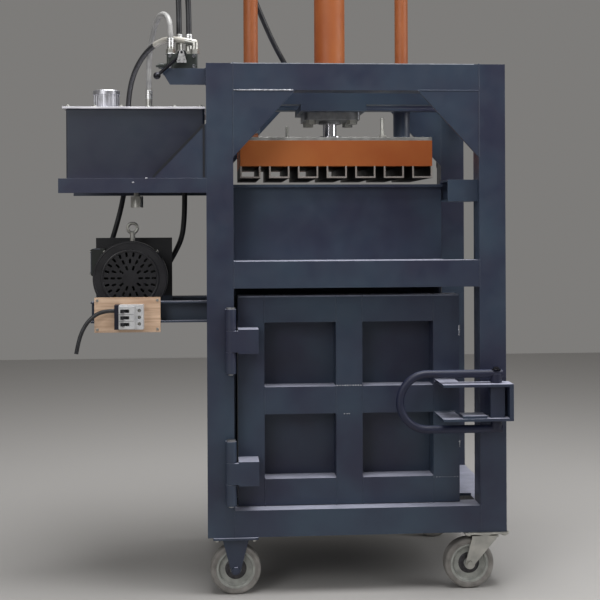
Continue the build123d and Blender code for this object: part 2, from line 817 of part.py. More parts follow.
def motor_nodes():
    """Finned motor with its cowl, fan and terminal box, the pump behind it and the rails below."""
    x, z = motor_x, motor_z
    y0, y1 = body_front, body_front + body_length
    fins = [Rot(0, 0, 360.0 * i / fin_count) * Pos(motor_radius + (fin_height - fin_root) / 2, 0)
            * Rectangle(fin_height + fin_root, fin_thickness) for i in range(fin_count)]
    section = Circle(motor_radius) + fins
    body = Pos(x, y1, z) * Rot(90, 0, 0) * extrude(section, amount=body_length)
    body += lengthways(x, z, y0 - shield_thickness, y0, motor_radius + shield_step)
    body += lengthways(x, z, y1, motor_plate_y, motor_radius + motor_flange_step)
    body -= lengthways(x, z, y0 - shield_thickness - 1, motor_plate_y + 1, shaft_radius + running_gap)
    add("motor_housing", body)
    cowl = lengthways(x, z, motor_front, y0 - shield_thickness, cowl_radius)
    cowl -= lengthways(x, z, motor_front + cowl_wall, y0, cowl_radius - cowl_wall)
    ring = lengthways(x, z, y0 - shield_thickness - seat_ring, y0 - shield_thickness, cowl_radius)
    cowl += ring - lengthways(x, z, motor_front, y0, motor_radius)
    slots = [Rot(0, 0, 360.0 * i / count) * Pos(ring_radius, 0) * SlotOverall(slot_length, slot_width)
             for ring_radius, count in grille_rings for i in range(count)]
    face = extrude(Sketch() + slots, amount=cowl_wall + 2)
    add("fan_cowl", cowl - Pos(x, motor_front + cowl_wall + 1, z) * Rot(90, 0, 0) * face)
    blades = [Rot(0, 0, 360.0 * i / fan_blades) * Pos(blade_middle, 0)
              * Rectangle(blade_length, blade_thickness) for i in range(fan_blades)]
    fan_back = y0 - shield_thickness - seat_ring - fan_gap
    fan = Pos(x, fan_back, z) * Rot(90, 0, 0) * extrude(Circle(fan_hub) + blades, amount=fan_depth)
    fan -= lengthways(x, z, fan_back - fan_depth - 1, fan_back + 1, shaft_radius)
    add("motor_fan", fan)
    shaft_front = fan_back - fan_depth - shaft_overhang
    add("motor_shaft", lengthways(x, z, shaft_front, pump_front - shaft_gap, shaft_radius))
    box_left = x - motor_radius - fin_height - terminal_reach
    box = block(box_left, x - motor_radius + terminal_lap, y0 + terminal_end, y1 - terminal_end,
                z + terminal_low, z + terminal_high)
    box = fillet(box.edges().filter_by(Axis.Y), terminal_edge)
    box -= lengthways(x, z, y0, y1, motor_radius + fin_height + terminal_gap)
    add("terminal_box", box)
    eye_base = z + motor_radius + fin_height
    eye_y = (y0 + y1) / 2
    eye = Pos(x, eye_y, eye_base + eye_height) * Rot(90, 0, 0) * Torus(eye_ring, eye_bar)
    eye += upright(x, eye_y, eye_base, eye_base + eye_height - eye_ring + eye_seat, eye_stem)
    add("lifting_eye", eye)
    half = motor_plate_size / 2
    plate = block(x - half, x + half, motor_plate_y, rear_rail_y, rail_top - rail_height, z + half)
    plate -= lengthways(x, z, motor_plate_y - 1, rear_rail_y + 1, bell_radius - bell_wall)
    bell = lengthways(x, z, rear_rail_y, pump_front, bell_radius)
    bell -= lengthways(x, z, rear_rail_y - 1, pump_front - bell_face, bell_radius - bell_wall)
    bell -= lengthways(x, z, rear_rail_y, pump_front + 1, shaft_radius + running_gap)
    add("pump_bellhousing", bell)
    pump = block(x - pump_half_width, x + pump_half_width, pump_front, pump_front + pump_length,
                 z - pump_half_height, z + pump_half_height)
    pump = fillet(pump.edges().filter_by(Axis.Y), pump_corner)
    for side in (-1, 1):
        inner = x + side * (pump_half_width - pump_port_lap)
        outer = x + side * (pump_half_width + pump_port)
        pump += crossways(pump_port_y, z, *sorted((inner, outer)), pump_port_radius)
    add("gear_pump", pump)
    rails = [plate]
    for front in (front_rail_y, rear_rail_y):
        outer = block(rail_left, 0, front, front + rail_flange, rail_top - rail_height, rail_top)
        groove = block(rail_left - 1, 1, front - 1, front + rail_flange - rail_wall,
                       rail_top - rail_height + rail_wall, rail_top - rail_wall)
        rails.append(outer - groove)
    add("motor_rails", *rails)


def breaker_nodes():
    """Plywood board on the front rail, with a three-pole breaker and its three toggles."""
    y1 = front_rail_y
    y0 = y1 - board_thickness
    add("breaker_board", block(board_left, board_right, y0, y1, board_bottom, board_top))
    x0, x1 = breaker_left, breaker_left + breaker_length
    z0, z1 = breaker_bottom, breaker_bottom + breaker_height
    front = y0 - breaker_depth
    shoulder = y0 - breaker_shoulder
    body = block(x0, x1, shoulder, y0, z0, z1)
    body += block(x0 + nose_left, x1 - nose_right, front, shoulder, z0 + nose_inset, z1 - nose_inset)
    pivot_x, pivot_y = x0 + pivot_inset_x, front + pivot_inset_y
    lean = Rot(0, 0, toggle_angle)
    drum_half = pole_slot / 2 - drum_clearance
    toggles = []
    for i in range(pole_count):
        zc = z0 + breaker_height / 2 + (i - (pole_count - 1) / 2) * pole_pitch
        body -= block(pivot_x - slot_half, pivot_x + slot_half, front - 1, front + 2 * pivot_inset_y,
                      zc - pole_slot / 2, zc + pole_slot / 2)
        body -= lengthways(x1 - terminal_inset, zc, shoulder - 1, shoulder + terminal_inset, terminal_radius)
        drum = upright(pivot_x, pivot_y, zc - drum_half, zc + drum_half, drum_radius)
        stalk = block(-stalk_half, stalk_half, -stalk_reach, 0, -drum_half, drum_half)
        toggles.append(drum + Pos(pivot_x, pivot_y, zc) * lean * stalk)
    add("circuit_breaker", body)
    add("breaker_toggle", *toggles)


def caster_nodes():
    """Two fixed casters at the left and two swivel casters at the right, all bolted to the posts."""
    plate_low = frame_bottom - caster_plate_thickness
    crown_top = plate_low - race_height
    bolts = []
    fixed = []
    swivels = []
    for name, cy in (("front", caster_inset_y), ("rear", frame_depth - caster_inset_y)):
        for cx in (left_caster_x, right_caster_x):
            for dx in (-1, 1):
                for dy in (-1, 1):
                    bx, by = cx + dx * caster_bolt_x / 2, cy + dy * caster_bolt_y / 2
                    low = plate_low - caster_head
                    bolts.append(hexagon(bx, by, low, caster_head_radius, caster_head)
                                 + upright(bx, by, low, frame_bottom, caster_bolt_radius))
        wheel_x = right_caster_x - caster_trail
        legs = caster_legs(left_caster_x, cy, left_caster_x, plate_low)
        fixed.append(caster_plate(left_caster_x, cy) + legs)
        fixed.append(caster_axle(left_caster_x, cy))
        add("wheel_" + name + "_left", *caster_wheel(left_caster_x, cy))
        race = caster_plate(right_caster_x, cy)
        race += upright(right_caster_x, cy, crown_top + race_step, plate_low, race_radius)
        race += upright(right_caster_x, cy, crown_top - fork_plate - kingpin_head, crown_top + race_step,
                        kingpin_radius)
        swivels.append(race)
        fork = caster_legs(right_caster_x, cy, wheel_x, crown_top)
        fork += upright(right_caster_x, cy, crown_top, crown_top + race_step - race_gap,
                        race_radius - lower_race_inset)
        fork -= upright(right_caster_x, cy, crown_top - fork_plate - 1, crown_top + 5.0,
                        kingpin_radius + running_gap)
        add("fork_" + name, fork, caster_axle(wheel_x, cy))
        add("wheel_" + name + "_right", *caster_wheel(wheel_x, cy))
    add("fixed_casters", *fixed)
    add("swivel_plates", *swivels)
    for x, y in flange_bolts():
        low = flange_bottom - bolt_head
        bolts.append(hexagon(x, y, low, bolt_head_radius, bolt_head)
                     + upright(x, y, low, crosshead_bottom, bolt_radius))
    add("frame_bolts", *bolts)


def caster_wheel(cx, cy):
    """A tyre and the dished rim inside it."""
    turn = Pos(cx, cy, wheel_radius) * Rot(90, 0, 0)
    rim_radius = wheel_radius - tyre_thickness
    tread = Cylinder(wheel_radius, wheel_width)
    tread = fillet(tread.edges().filter_by(GeomType.CIRCLE), tyre_edge)
    tyre = tread - Cylinder(rim_radius, wheel_width + 2)
    rim = Cylinder(rim_radius, wheel_width - 2 * rim_inset)
    dish = Cylinder(rim_radius - rim_flange, dish_depth) - Cylinder(hub_radius, dish_depth)
    for side in (-1, 1):
        rim -= Pos(0, 0, side * (wheel_width / 2 - rim_inset)) * dish
    rim += Cylinder(hub_radius, wheel_width + 2 * (fork_gap - hub_gap))
    rim -= Cylinder(axle_radius + running_gap, 2 * wheel_width)
    return [turn * tyre, turn * rim]


def caster_axle(cx, cy):
    """An axle bolt through both legs, with a nut at each end."""
    reach = wheel_width / 2 + fork_gap + fork_plate
    bar = lengthways(cx, wheel_radius, cy - reach, cy + reach, axle_radius)
    for side in (-1, 1):
        nut = extrude(RegularPolygon(axle_nut_radius, 6), amount=axle_nut_height)
        bar += Pos(cx, cy + side * reach, wheel_radius) * Rot(-side * 90, 0, 0) * nut
    return bar


def caster_legs(px, py, wx, top):
    """A folded fork: a crown plate and two tapered legs that reach the axle."""
    leg_gap = wheel_width / 2 + fork_gap
    leg_out = leg_gap + fork_plate
    fork = block(px - crown_half, px + crown_half, py - leg_out, py + leg_out, top - fork_plate, top)
    for y0 in (py - leg_out, py + leg_gap):
        outline = Polyline(
            (px + crown_half, 0, top), (px - crown_half, 0, top), (wx - leg_end, 0, wheel_radius),
            (wx, 0, wheel_radius), (wx + leg_end, 0, wheel_radius), close=True,
        )
        leg = make_face(outline) + Pos(wx, 0, wheel_radius) * Rot(90, 0, 0) * Circle(leg_end)
        fork += Pos(0, y0, 0) * extrude(leg, amount=fork_plate, dir=(0, 1, 0))
    return fork - lengthways(wx, wheel_radius, py - leg_out - 1, py + leg_out + 1, axle_radius)


def caster_plate(cx, cy):
    """A top plate with four bolt holes."""
    plate_low = frame_bottom - caster_plate_thickness
    flat = block(cx - caster_plate_x / 2, cx + caster_plate_x / 2,
                 cy - caster_plate_y / 2, cy + caster_plate_y / 2, plate_low, frame_bottom)
    flat = fillet(flat.edges().filter_by(Axis.Z), caster_plate_corner)
    for dx in (-1, 1):
        for dy in (-1, 1):
            flat -= upright(cx + dx * caster_bolt_x / 2, cy + dy * caster_bolt_y / 2,
                            plate_low - 1, frame_bottom + 1, caster_bolt_radius)
    return flat


def fitting(x, y, z0, z1):
    """An upright hose end: a hexagon nut and a crimped ferrule."""
    return hexagon(x, y, z0, nut_radius, nut_length) + upright(x, y, z0, z1, ferrule_radius)


def along(corner, heading, distance):
    """A point at a distance from a corner, in a given direction."""
    return Vector(*corner) + Vector(*heading).normalized() * distance


def outlet(corner, heading):
    """The bent end of an adapter: a round corner and a short tube towards the hose."""
    tube_end = Pos(0, 0, outlet_length / 2) * Cylinder(ferrule_radius, outlet_length)
    return Pos(*corner) * Sphere(ferrule_radius) + Plane(origin=corner, z_dir=heading) * tube_end


def elbow(x, corner, heading):
    """A port adapter that leaves a face at x and bends towards its hose."""
    side = 1 if corner[0] > x else -1
    body = crossways(corner[1], corner[2], *sorted((x, corner[0])), ferrule_radius)
    body += crossways(corner[1], corner[2], *sorted((x, x + side * nut_length)), nut_radius)
    return body + outlet(corner, heading)


def hose(name, points, radius):
    """A hose along straight runs that are joined by the largest arcs they leave room for."""
    points = [Vector(*point) for point in points]
    runs = [b - a for a, b in zip(points, points[1:])]
    radii = []
    for before, after in zip(runs, runs[1:]):
        turn = math.radians(before.get_angle(after))
        radii.append(0.45 * min(before.length, after.length) / math.tan(turn / 2))
    path = FilletPolyline(*points, radius=radii)
    start = Plane(origin=points[0], z_dir=runs[0])
    solid = sweep(start * Circle(radius), path=path)
    length = sum(edge.length for edge in path.edges())
    ratio = solid.volume / (math.pi * radius ** 2 * length)
    print(name, "length", round(length), "volume ratio", round(ratio, 4), "radii", [round(r) for r in radii])
    add(name, solid)


def hydraulic_nodes():
    """Fittings, and the five hoses between tank, pump, valve and cylinder."""
    barrel_left = platen_centre_x - barrel_radius - boss_length
    pump_right = motor_x + pump_half_width + pump_port
    pump_left = motor_x - pump_half_width - pump_port
    reach = nut_length + nut_radius
    inlet = (pump_right + reach, pump_port_y, motor_z)
    delivery = (pump_left - reach, pump_port_y, motor_z)
    lower_port = (barrel_left - reach, platen_centre_y, lower_port_z)
    upper_port = (barrel_left - reach, platen_centre_y, upper_port_z)
    pressure_port = (pressure_port_x, front_port_y, pressure_top)
    drain = upright(drain_x, drain_y, drain_bottom + drain_height, tank_bottom, drain_neck)
    drain += upright(drain_x, drain_y, drain_bottom, drain_bottom + drain_height, drain_radius)
    pressure_fitting = fitting(pressure_port_x, front_port_y, valve_top, pressure_top)
    add("hose_fittings",
        fitting(return_port_x, front_port_y, valve_top, return_top),
        pressure_fitting + outlet(pressure_port, pressure_heading),
        fitting(lower_line_x, rear_port_y, valve_top, line_top),
        fitting(upper_line_x, rear_port_y, valve_top, line_top),
        fitting(lid_port_x, lid_port_y, lid_top, lid_fitting_top),
        Pos(suction_x, suction_y, tank_bottom) * Rot(180, 0, 0) * fitting(0, 0, 0, suction_drop),
        elbow(pump_right, inlet, inlet_heading),
        elbow(pump_left, delivery, delivery_heading),
        elbow(barrel_left, lower_port, lower_heading),
        elbow(barrel_left, upper_port, upper_heading),
        drain)
    hose("return_hose", [
        (lid_port_x, lid_port_y, lid_fitting_top), (lid_port_x, lid_port_y, lid_fitting_top + lead),
        (-177.3, 252.0, 1652.0), (-168.0, 231.0, 1704.0), (-152.8, 197.2, 1745.0), (-134.0, 155.2, 1757.0),
        (-116.0, 115.1, 1742.0), (return_port_x, front_port_y, return_top + short_lead),
        (return_port_x, front_port_y, return_top),
    ], hose_radius)
    hose("pressure_hose", [
        along(pressure_port, pressure_heading, outlet_length),
        along(pressure_port, pressure_heading, outlet_length + pressure_lead),
        (-150.0, 163.0, 1668.0), (-194.0, 225.0, 1640.0), (-230.0, 310.0, 1596.0), (-252.0, 392.0, 1540.0),
        (-261.0, 446.0, 1456.0), (-263.0, 462.0, 1360.0), (-267.0, 456.0, 1262.0), (-280.0, 441.0, 1172.0),
        (-302.0, 421.0, 1085.0),
        along(delivery, delivery_heading, outlet_length + lead),
        along(delivery, delivery_heading, outlet_length),
    ], hose_radius)
    hose("suction_hose", [
        (suction_x, suction_y, tank_bottom - suction_drop),
        (suction_x, suction_y, tank_bottom - suction_drop - short_lead),
        (-73.0, 321.0, 1120.0), (-80.0, 328.0, 1063.0),
        along(inlet, inlet_heading, outlet_length + lead),
        along(inlet, inlet_heading, outlet_length),
    ], hose_radius)
    hose("lower_hose", [
        (lower_line_x, rear_port_y, line_top), (lower_line_x, rear_port_y, line_top + long_lead),
        (-58.0, 133.0, 1850.0), (-43.0, 146.0, 1925.0), (-6.0, 176.0, 1980.0), (45.0, 217.0, 2000.0),
        (92.0, 257.0, 1976.0), (129.0, 287.0, 1916.0), (150.0, 304.0, 1845.0), (186.0, 330.0, 1765.0),
        (222.0, 350.0, 1690.0),
        along(lower_port, lower_heading, outlet_length + lead),
        along(lower_port, lower_heading, outlet_length),
    ], hose_radius)
    hose("upper_hose", [
        (upper_line_x, rear_port_y, line_top), (upper_line_x, rear_port_y, line_top + long_lead),
        (-86.0, 143.0, 1860.0), (-75.0, 164.0, 1960.0), (-45.0, 198.0, 2050.0), (5.0, 244.0, 2118.0),
        (66.0, 294.0, 2165.0), (140.0, 335.0, 2181.0),
        along(upper_port, upper_heading, outlet_length + lead),
        along(upper_port, upper_heading, outlet_length),
    ], hose_radius)
    hose("supply_cable", [
        (breaker_left, 4.0, 852.0), (breaker_left - cable_lead, 4.0, 852.0), (-326.0, 3.0, 842.0),
        (-349.0, 1.0, 822.0), (-366.0, -1.0, 794.0), (-377.0, -3.0, 761.0), (-383.0, -5.0, 727.0),
    ], cable_radius)


frame_nodes()
chamber_nodes()
platen_nodes()
crosshead_nodes()
cylinder_nodes()
door_nodes()
latch_nodes()
tank_nodes()
valve_nodes()
motor_nodes()
breaker_nodes()
caster_nodes()
hydraulic_nodes()

cords = ("return_hose", "pressure_hose", "suction_hose", "lower_hose", "upper_hose", "supply_cable")
whole = Compound(children=[solid for name, solids in nodes.items() if name not in cords for solid in solids])
limits = whole.bounding_box()
shift = Vector(
    -(limits.min.X + limits.max.X) / 2,
    -(limits.min.Y + limits.max.Y) / 2,
    0,
)
print("size", [round(v, 1) for v in (limits.size.X, limits.size.Y, limits.size.Z)])
print("shift", [round(v, 3) for v in (shift.X, shift.Y, shift.Z)])

os.makedirs("parts", exist_ok=True)
for name, solids in nodes.items():
    moved = [Pos(shift.X, shift.Y, shift.Z) * solid for solid in solids]
    export_step(Compound(children=moved), f"parts/{name}.step")
print(len(nodes), "nodes")
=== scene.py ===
# %% [markdown]
# # Metal chip compactor
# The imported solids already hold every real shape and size, so this lesson is about the surface: what
# each sheet, tube, casting and hose is made of, how it was finished and joined, and what light does
# to it. New pieces are the hoses, the wheels, and the small things that a solid leaves out, such as
# weld beads and screws.
# The frame is loaded first. It stays where it is, and everything else is placed from it.

# %% Load the frame
import json
import math
import random

import bmesh
import bpy
from mathutils import Matrix, Vector


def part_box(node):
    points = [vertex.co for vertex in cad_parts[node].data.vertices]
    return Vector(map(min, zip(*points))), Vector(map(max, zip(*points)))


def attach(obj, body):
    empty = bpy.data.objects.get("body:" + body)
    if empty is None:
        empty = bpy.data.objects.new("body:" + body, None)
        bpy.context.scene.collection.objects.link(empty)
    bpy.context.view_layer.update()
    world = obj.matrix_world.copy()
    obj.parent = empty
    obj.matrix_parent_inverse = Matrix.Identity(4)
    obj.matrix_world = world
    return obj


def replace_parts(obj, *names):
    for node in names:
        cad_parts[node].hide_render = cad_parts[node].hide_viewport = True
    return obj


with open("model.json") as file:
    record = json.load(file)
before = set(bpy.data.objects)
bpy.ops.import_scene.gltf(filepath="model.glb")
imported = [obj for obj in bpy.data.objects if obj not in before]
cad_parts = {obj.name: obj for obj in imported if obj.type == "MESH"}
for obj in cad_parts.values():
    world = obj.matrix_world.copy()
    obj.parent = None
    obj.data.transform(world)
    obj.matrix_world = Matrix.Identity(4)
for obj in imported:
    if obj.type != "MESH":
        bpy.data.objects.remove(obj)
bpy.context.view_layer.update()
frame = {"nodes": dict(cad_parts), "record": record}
scene = bpy.context.scene

# %% [markdown]
# ## One ruler for everything
# The machine was drawn in millimetres from the left front corner of its welded frame. That corner is
# a corner of the posts, so the same millimetres can be used here: a point is measured from the posts
# and turned to metres by one function.

# %% A ruler in millimetres
MM = 0.001
post_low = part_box("corner_posts")[0]


def at(x, y, z):
    """A point in metres, given in millimetres from the posts' left front corner and the floor."""
    return Vector((post_low.x + x * MM, post_low.y + y * MM, z * MM))


def span(node):
    """The lowest and highest corner of a solid, in millimetres on the same ruler."""
    low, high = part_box(node)
    corner = Vector((post_low.x, post_low.y, 0))
    return (low - corner) / MM, (high - corner) / MM


print("posts reach", [round(v) for v in span("corner_posts")[1]])

# %% [markdown]
# ## The camera
# The photograph was taken about 3.6 m in front of the machine, a little left of its middle, from
# chest height and held level. Its upper edge was cropped, which puts the horizon above the middle of
# the picture. A vertical shift of the lens does the same without tilting the posts.

# %% Camera
PHOTO_SIZE = 600
FOCAL_PIXELS = 1200
HORIZON_PIXEL = 222
SENSOR = 36
CAMERA_PLACE = (14.2, -3566.9, 1114.4)
YAW, PITCH, ROLL = 0.0738, -0.0007, -0.0044

lens = bpy.data.cameras.new("camera")
lens.sensor_width = SENSOR
lens.lens = SENSOR * FOCAL_PIXELS / PHOTO_SIZE
lens.shift_y = (HORIZON_PIXEL - PHOTO_SIZE / 2) / PHOTO_SIZE
camera = bpy.data.objects.new("camera", lens)
aim = Matrix.Rotation(-YAW, 4, "Z") @ Matrix.Rotation(math.pi / 2 + PITCH, 4, "X")
camera.matrix_world = Matrix.Translation(at(*CAMERA_PLACE)) @ aim @ Matrix.Rotation(ROLL, 4, "Z")
scene.collection.objects.link(camera)
scene.camera = camera
print("camera at", [round(v, 3) for v in camera.matrix_world.translation], "lens", lens.lens)

# %% [markdown]
# ## Hoses and the supply cable
# A hydraulic hose is a fixed length of stiff rubber and wire. It leaves its fitting straight and
# bends only as much as its length asks. One NURBS spline with a few control points bends the same
# way, because its curvature changes slowly along the line. The bevel of the curve gives it its
# thickness. Each point carries the hose's radius and the bevel is left at one, because Blender adds
# the points' radius to a curve's box, and a radius left at one metre would swell the whole machine's.

# %% Hoses and cable
HOSE = 17.0
CABLE = 12.0
SMOOTH_ALONG, SMOOTH_ROUND = 10, 5

# For each cord: its diameter, its real length, what its far end is, and its control points.
routes = {
    "return_hose": (HOSE, 399, "object", [
        (-181, 260, 1531), (-181, 260, 1591), (-177.3, 252, 1652), (-168, 231, 1704), (-152.8, 197.2, 1745),
        (-134, 155.2, 1757), (-116, 115.1, 1742), (-107, 95, 1708), (-107, 95, 1672),
    ]),
    "pressure_hose": (HOSE, 988, "object", [
        (-60.6, 104.6, 1664.6), (-103.9, 119.7, 1675), (-150, 163, 1668), (-194, 225, 1640),
        (-230, 310, 1596), (-252, 392, 1540), (-261, 446, 1456), (-263, 462, 1360), (-267, 456, 1262),
        (-280, 441, 1172), (-302, 421, 1085), (-317, 396.5, 1034), (-317, 396.5, 974),
    ]),
    "suction_hose": (HOSE, 272, "object", [
        (-71, 318, 1213), (-71, 318, 1177), (-73, 321, 1120), (-80, 328, 1063),
        (-104.4, 353.2, 1011.7), (-131.5, 382.1, 966.6),
    ]),
    "lower_hose": (HOSE, 906, "object", [
        (-52, 138, 1690), (-52, 138, 1765), (-58, 133, 1850), (-43, 146, 1925), (-6, 176, 1980),
        (45, 217, 2000), (92, 257, 1976), (129, 287, 1916), (150, 304, 1845), (186, 330, 1765),
        (222, 350, 1690), (261, 362.5, 1622.9), (291, 362.5, 1571),
    ]),
    "upper_hose": (HOSE, 787, "object", [
        (-82, 138, 1690), (-82, 138, 1765), (-86, 143, 1860), (-75, 164, 1960), (-45, 198, 2050),
        (5, 244, 2118), (66, 294, 2165), (140, 335, 2181), (219.1, 362.5, 2175.3), (277, 362.5, 2159.8),
    ]),
    "supply_cable": (CABLE, 189, "bare", [
        (-271, 4, 852), (-299, 4, 852), (-326, 3, 842), (-349, 1, 822), (-366, -1, 794),
        (-377, -3, 761), (-383, -5, 727),
    ]),
}


def lay_cord(name, diameter, length, far_end, points):
    """A hose or cable along its control points; its real length is not used."""
    curve = bpy.data.curves.new(name + "_line", "CURVE")
    curve.dimensions = "3D"
    line = curve.splines.new("NURBS")
    line.points.add(len(points) - 1)
    for knot, point in zip(line.points, points):
        knot.co = (*at(*point), 1)
        knot.radius = diameter / 2 * MM
    line.order_u = 3
    line.use_endpoint_u = True
    line.resolution_u = SMOOTH_ALONG
    curve.bevel_depth = 1.0
    curve.bevel_resolution = SMOOTH_ROUND
    curve.use_fill_caps = True
    piece = bpy.data.objects.new(name + "_rubber", curve)
    scene.collection.objects.link(piece)
    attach(piece, "frame")
    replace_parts(piece, name)
    return piece


cords = {name: lay_cord(name, *route) for name, route in routes.items()}
print("cords", len(cords), "longest", max(route[1] for route in routes.values()), "mm")

# %% [markdown]
# ## Building a finish
# Every finish is a Principled shader fed by a few textures. Two helpers keep that short: one turns the
# sRGB hex value that a colour picker shows into the linear numbers that Blender mixes, and one adds
# a node, sets it and links it.

# %% Colours and nodes


def linear(colour):
    """An sRGB hex value such as #3b4252 as linear red, green, blue and alpha."""
    channels = [int(colour[i:i + 2], 16) / 255 for i in (1, 3, 5)]
    return (*[c / 12.92 if c <= 0.04045 else ((c + 0.055) / 1.055) ** 2.4 for c in channels], 1)


def put(tree, kind, settings, links=()):
    """Add a node, set its properties or input values, and link its inputs."""
    node = tree.nodes.new(kind)
    for key, value in settings.items():
        if isinstance(key, str) and hasattr(node, key):
            setattr(node, key, value)
        else:
            node.inputs[key].default_value = value
    for key, socket in dict(links).items():
        tree.links.new(socket, node.inputs[key])
    return node


def new_material(name, colour, roughness, metallic=0.0, ior=1.5, coat=0.0):
    """A named material with its Principled shader, ready for textures."""
    material = bpy.data.materials.new(name)
    material.use_nodes = True
    tree = material.node_tree
    shader = tree.nodes["Principled BSDF"]
    shader.inputs["Base Color"].default_value = linear(colour)
    shader.inputs["Roughness"].default_value = roughness
    shader.inputs["Metallic"].default_value = metallic
    shader.inputs["IOR"].default_value = ior
    shader.inputs["Coat Weight"].default_value = coat
    return material, tree, shader


print("mid grey in linear numbers", round(linear("#808080")[0], 3))

# %% [markdown]
# ## Patterns and blends
# Paint that thins out, cloudy zinc and handled rubber are all soft noise, so one helper makes it. Its
# scale is worked out from the size of the real blobs in millimetres. The other helpers stretch a
# factor over a new range, and use it to blend two colours or to limit another mask.

# %% Patterns and blends
# The mix node has sockets of the same name for numbers, vectors and colours. These are the colour ones.
MIX_FACTOR, MIX_A, MIX_B, MIX_RESULT = 0, 6, 7, 2


def noise(tree, size, detail=3.0, stretch=(1, 1, 1)):
    """Soft noise whose blobs are about size millimetres across, stretched along an axis."""
    place = put(tree, "ShaderNodeTexCoord", {})
    scale = put(tree, "ShaderNodeMapping", {"Scale": stretch}, {"Vector": place.outputs["Object"]})
    return put(tree, "ShaderNodeTexNoise", {"Scale": 1 / (size * MM), "Detail": detail},
               {"Vector": scale.outputs["Vector"]}).outputs["Fac"]


def ramp(tree, factor, low, high, to_low=0.0, to_high=1.0):
    """Stretch the part of a factor between low and high over a new range."""
    return put(tree, "ShaderNodeMapRange",
               {"From Min": low, "From Max": high, "To Min": to_low, "To Max": to_high},
               {"Value": factor}).outputs["Result"]


def mix(tree, factor, first, second):
    """Blend two colours, each a hex value or a socket."""
    settings = {"data_type": "RGBA"}
    links = {MIX_FACTOR: factor}
    for index, colour in ((MIX_A, first), (MIX_B, second)):
        if isinstance(colour, str):
            settings[index] = linear(colour)
        else:
            links[index] = colour
    return put(tree, "ShaderNodeMix", settings, links).outputs[MIX_RESULT]


def product(tree, first, second):
    """One mask times another."""
    return put(tree, "ShaderNodeMath", {"operation": "MULTIPLY"}, {0: first, 1: second}).outputs[0]


print("blobs of 20 mm need a noise scale of", round(1 / (20 * MM)))

# %% [markdown]
# ## Masks from the shape
# Dust lies on faces that look up, and its pale colour there is partly painted light on the tops. Painted
# shade darkens what lies beyond a line, and paint is rubbed off along edges, where on the navy and dark grey
# coats the paler edge colour is partly a painted highlight. Each of these is worked out from the surface
# itself, so it stays right when a piece moves. The edge mask compares the true normal with the softened one
# of a bevel node, and where they differ there is an edge. The softened normal is kept, because no real edge
# is perfectly sharp.

# %% Masks from the shape


def upward(tree):
    """A mask that is white on faces that look up, where dust settles and where light on the tops is painted.
    """
    place = put(tree, "ShaderNodeTexCoord", {})
    parts = put(tree, "ShaderNodeSeparateXYZ", {}, {0: place.outputs["Normal"]})
    return ramp(tree, parts.outputs["Z"], 0.7, 0.95)


def beyond(tree, axis, start, end):
    """A mask that grows from black to white between two places along an axis, in metres."""
    place = put(tree, "ShaderNodeTexCoord", {})
    parts = put(tree, "ShaderNodeSeparateXYZ", {}, {0: place.outputs["Object"]})
    return ramp(tree, parts.outputs[axis], start, end)


def edge_mask(tree, radius):
    """A mask that is white within radius millimetres of a sharp edge, and the rounded normal there."""
    rounded = put(tree, "ShaderNodeBevel", {"samples": 6, "Radius": radius * MM}).outputs["Normal"]
    flat = put(tree, "ShaderNodeNewGeometry", {}).outputs["Normal"]
    same = put(tree, "ShaderNodeVectorMath", {"operation": "DOT_PRODUCT"}, {0: rounded, 1: flat})
    return ramp(tree, same.outputs["Value"], 0.995, 0.8), rounded


def bump(tree, shader, height, depth, normal=None):
    """Raise a surface by depth millimetres where height is white."""
    links = {"Height": height}
    if normal is not None:
        links["Normal"] = normal
    raised = put(tree, "ShaderNodeBump", {"Strength": 1.0, "Distance": depth * MM}, links)
    tree.links.new(raised.outputs["Normal"], shader.inputs["Normal"])


print("masks: upward, beyond, edge_mask")

# %% [markdown]
# ## Sprayed enamel
# The frame, door, hopper and tank are mild steel under one coat of satin enamel, sprayed after welding. Up
# close it has a faint orange peel, drifts a little in tone where the coat is thin, and is rubbed through
# along edges, where a paler edge colour is partly a painted highlight. Dust lies on every ledge, and its pale
# colour there is partly painted light on the tops. One function makes all four effects, and painted shade
# above a height if asked, and the colours change from piece to piece.

# %% Painted finishes
ORANGE_PEEL, PEEL_DEPTH = 2.5, 0.03
TONE_PATCH, RUBBED_PATCH, DUST_PATCH, GLOSS_PATCH = 260.0, 24.0, 60.0, 45.0
# Rubbed edges take up to this share of the edge colour: partly wear, and on the dark coats partly a painted
# highlight.
EDGE_WEAR_AND_HIGHLIGHT = 0.35
# Painted shade: above a given height the coat fades to this near black over this many millimetres.
PAINTED_SHADE, PAINTED_SHADE_FADE = "#16171c", 4.0


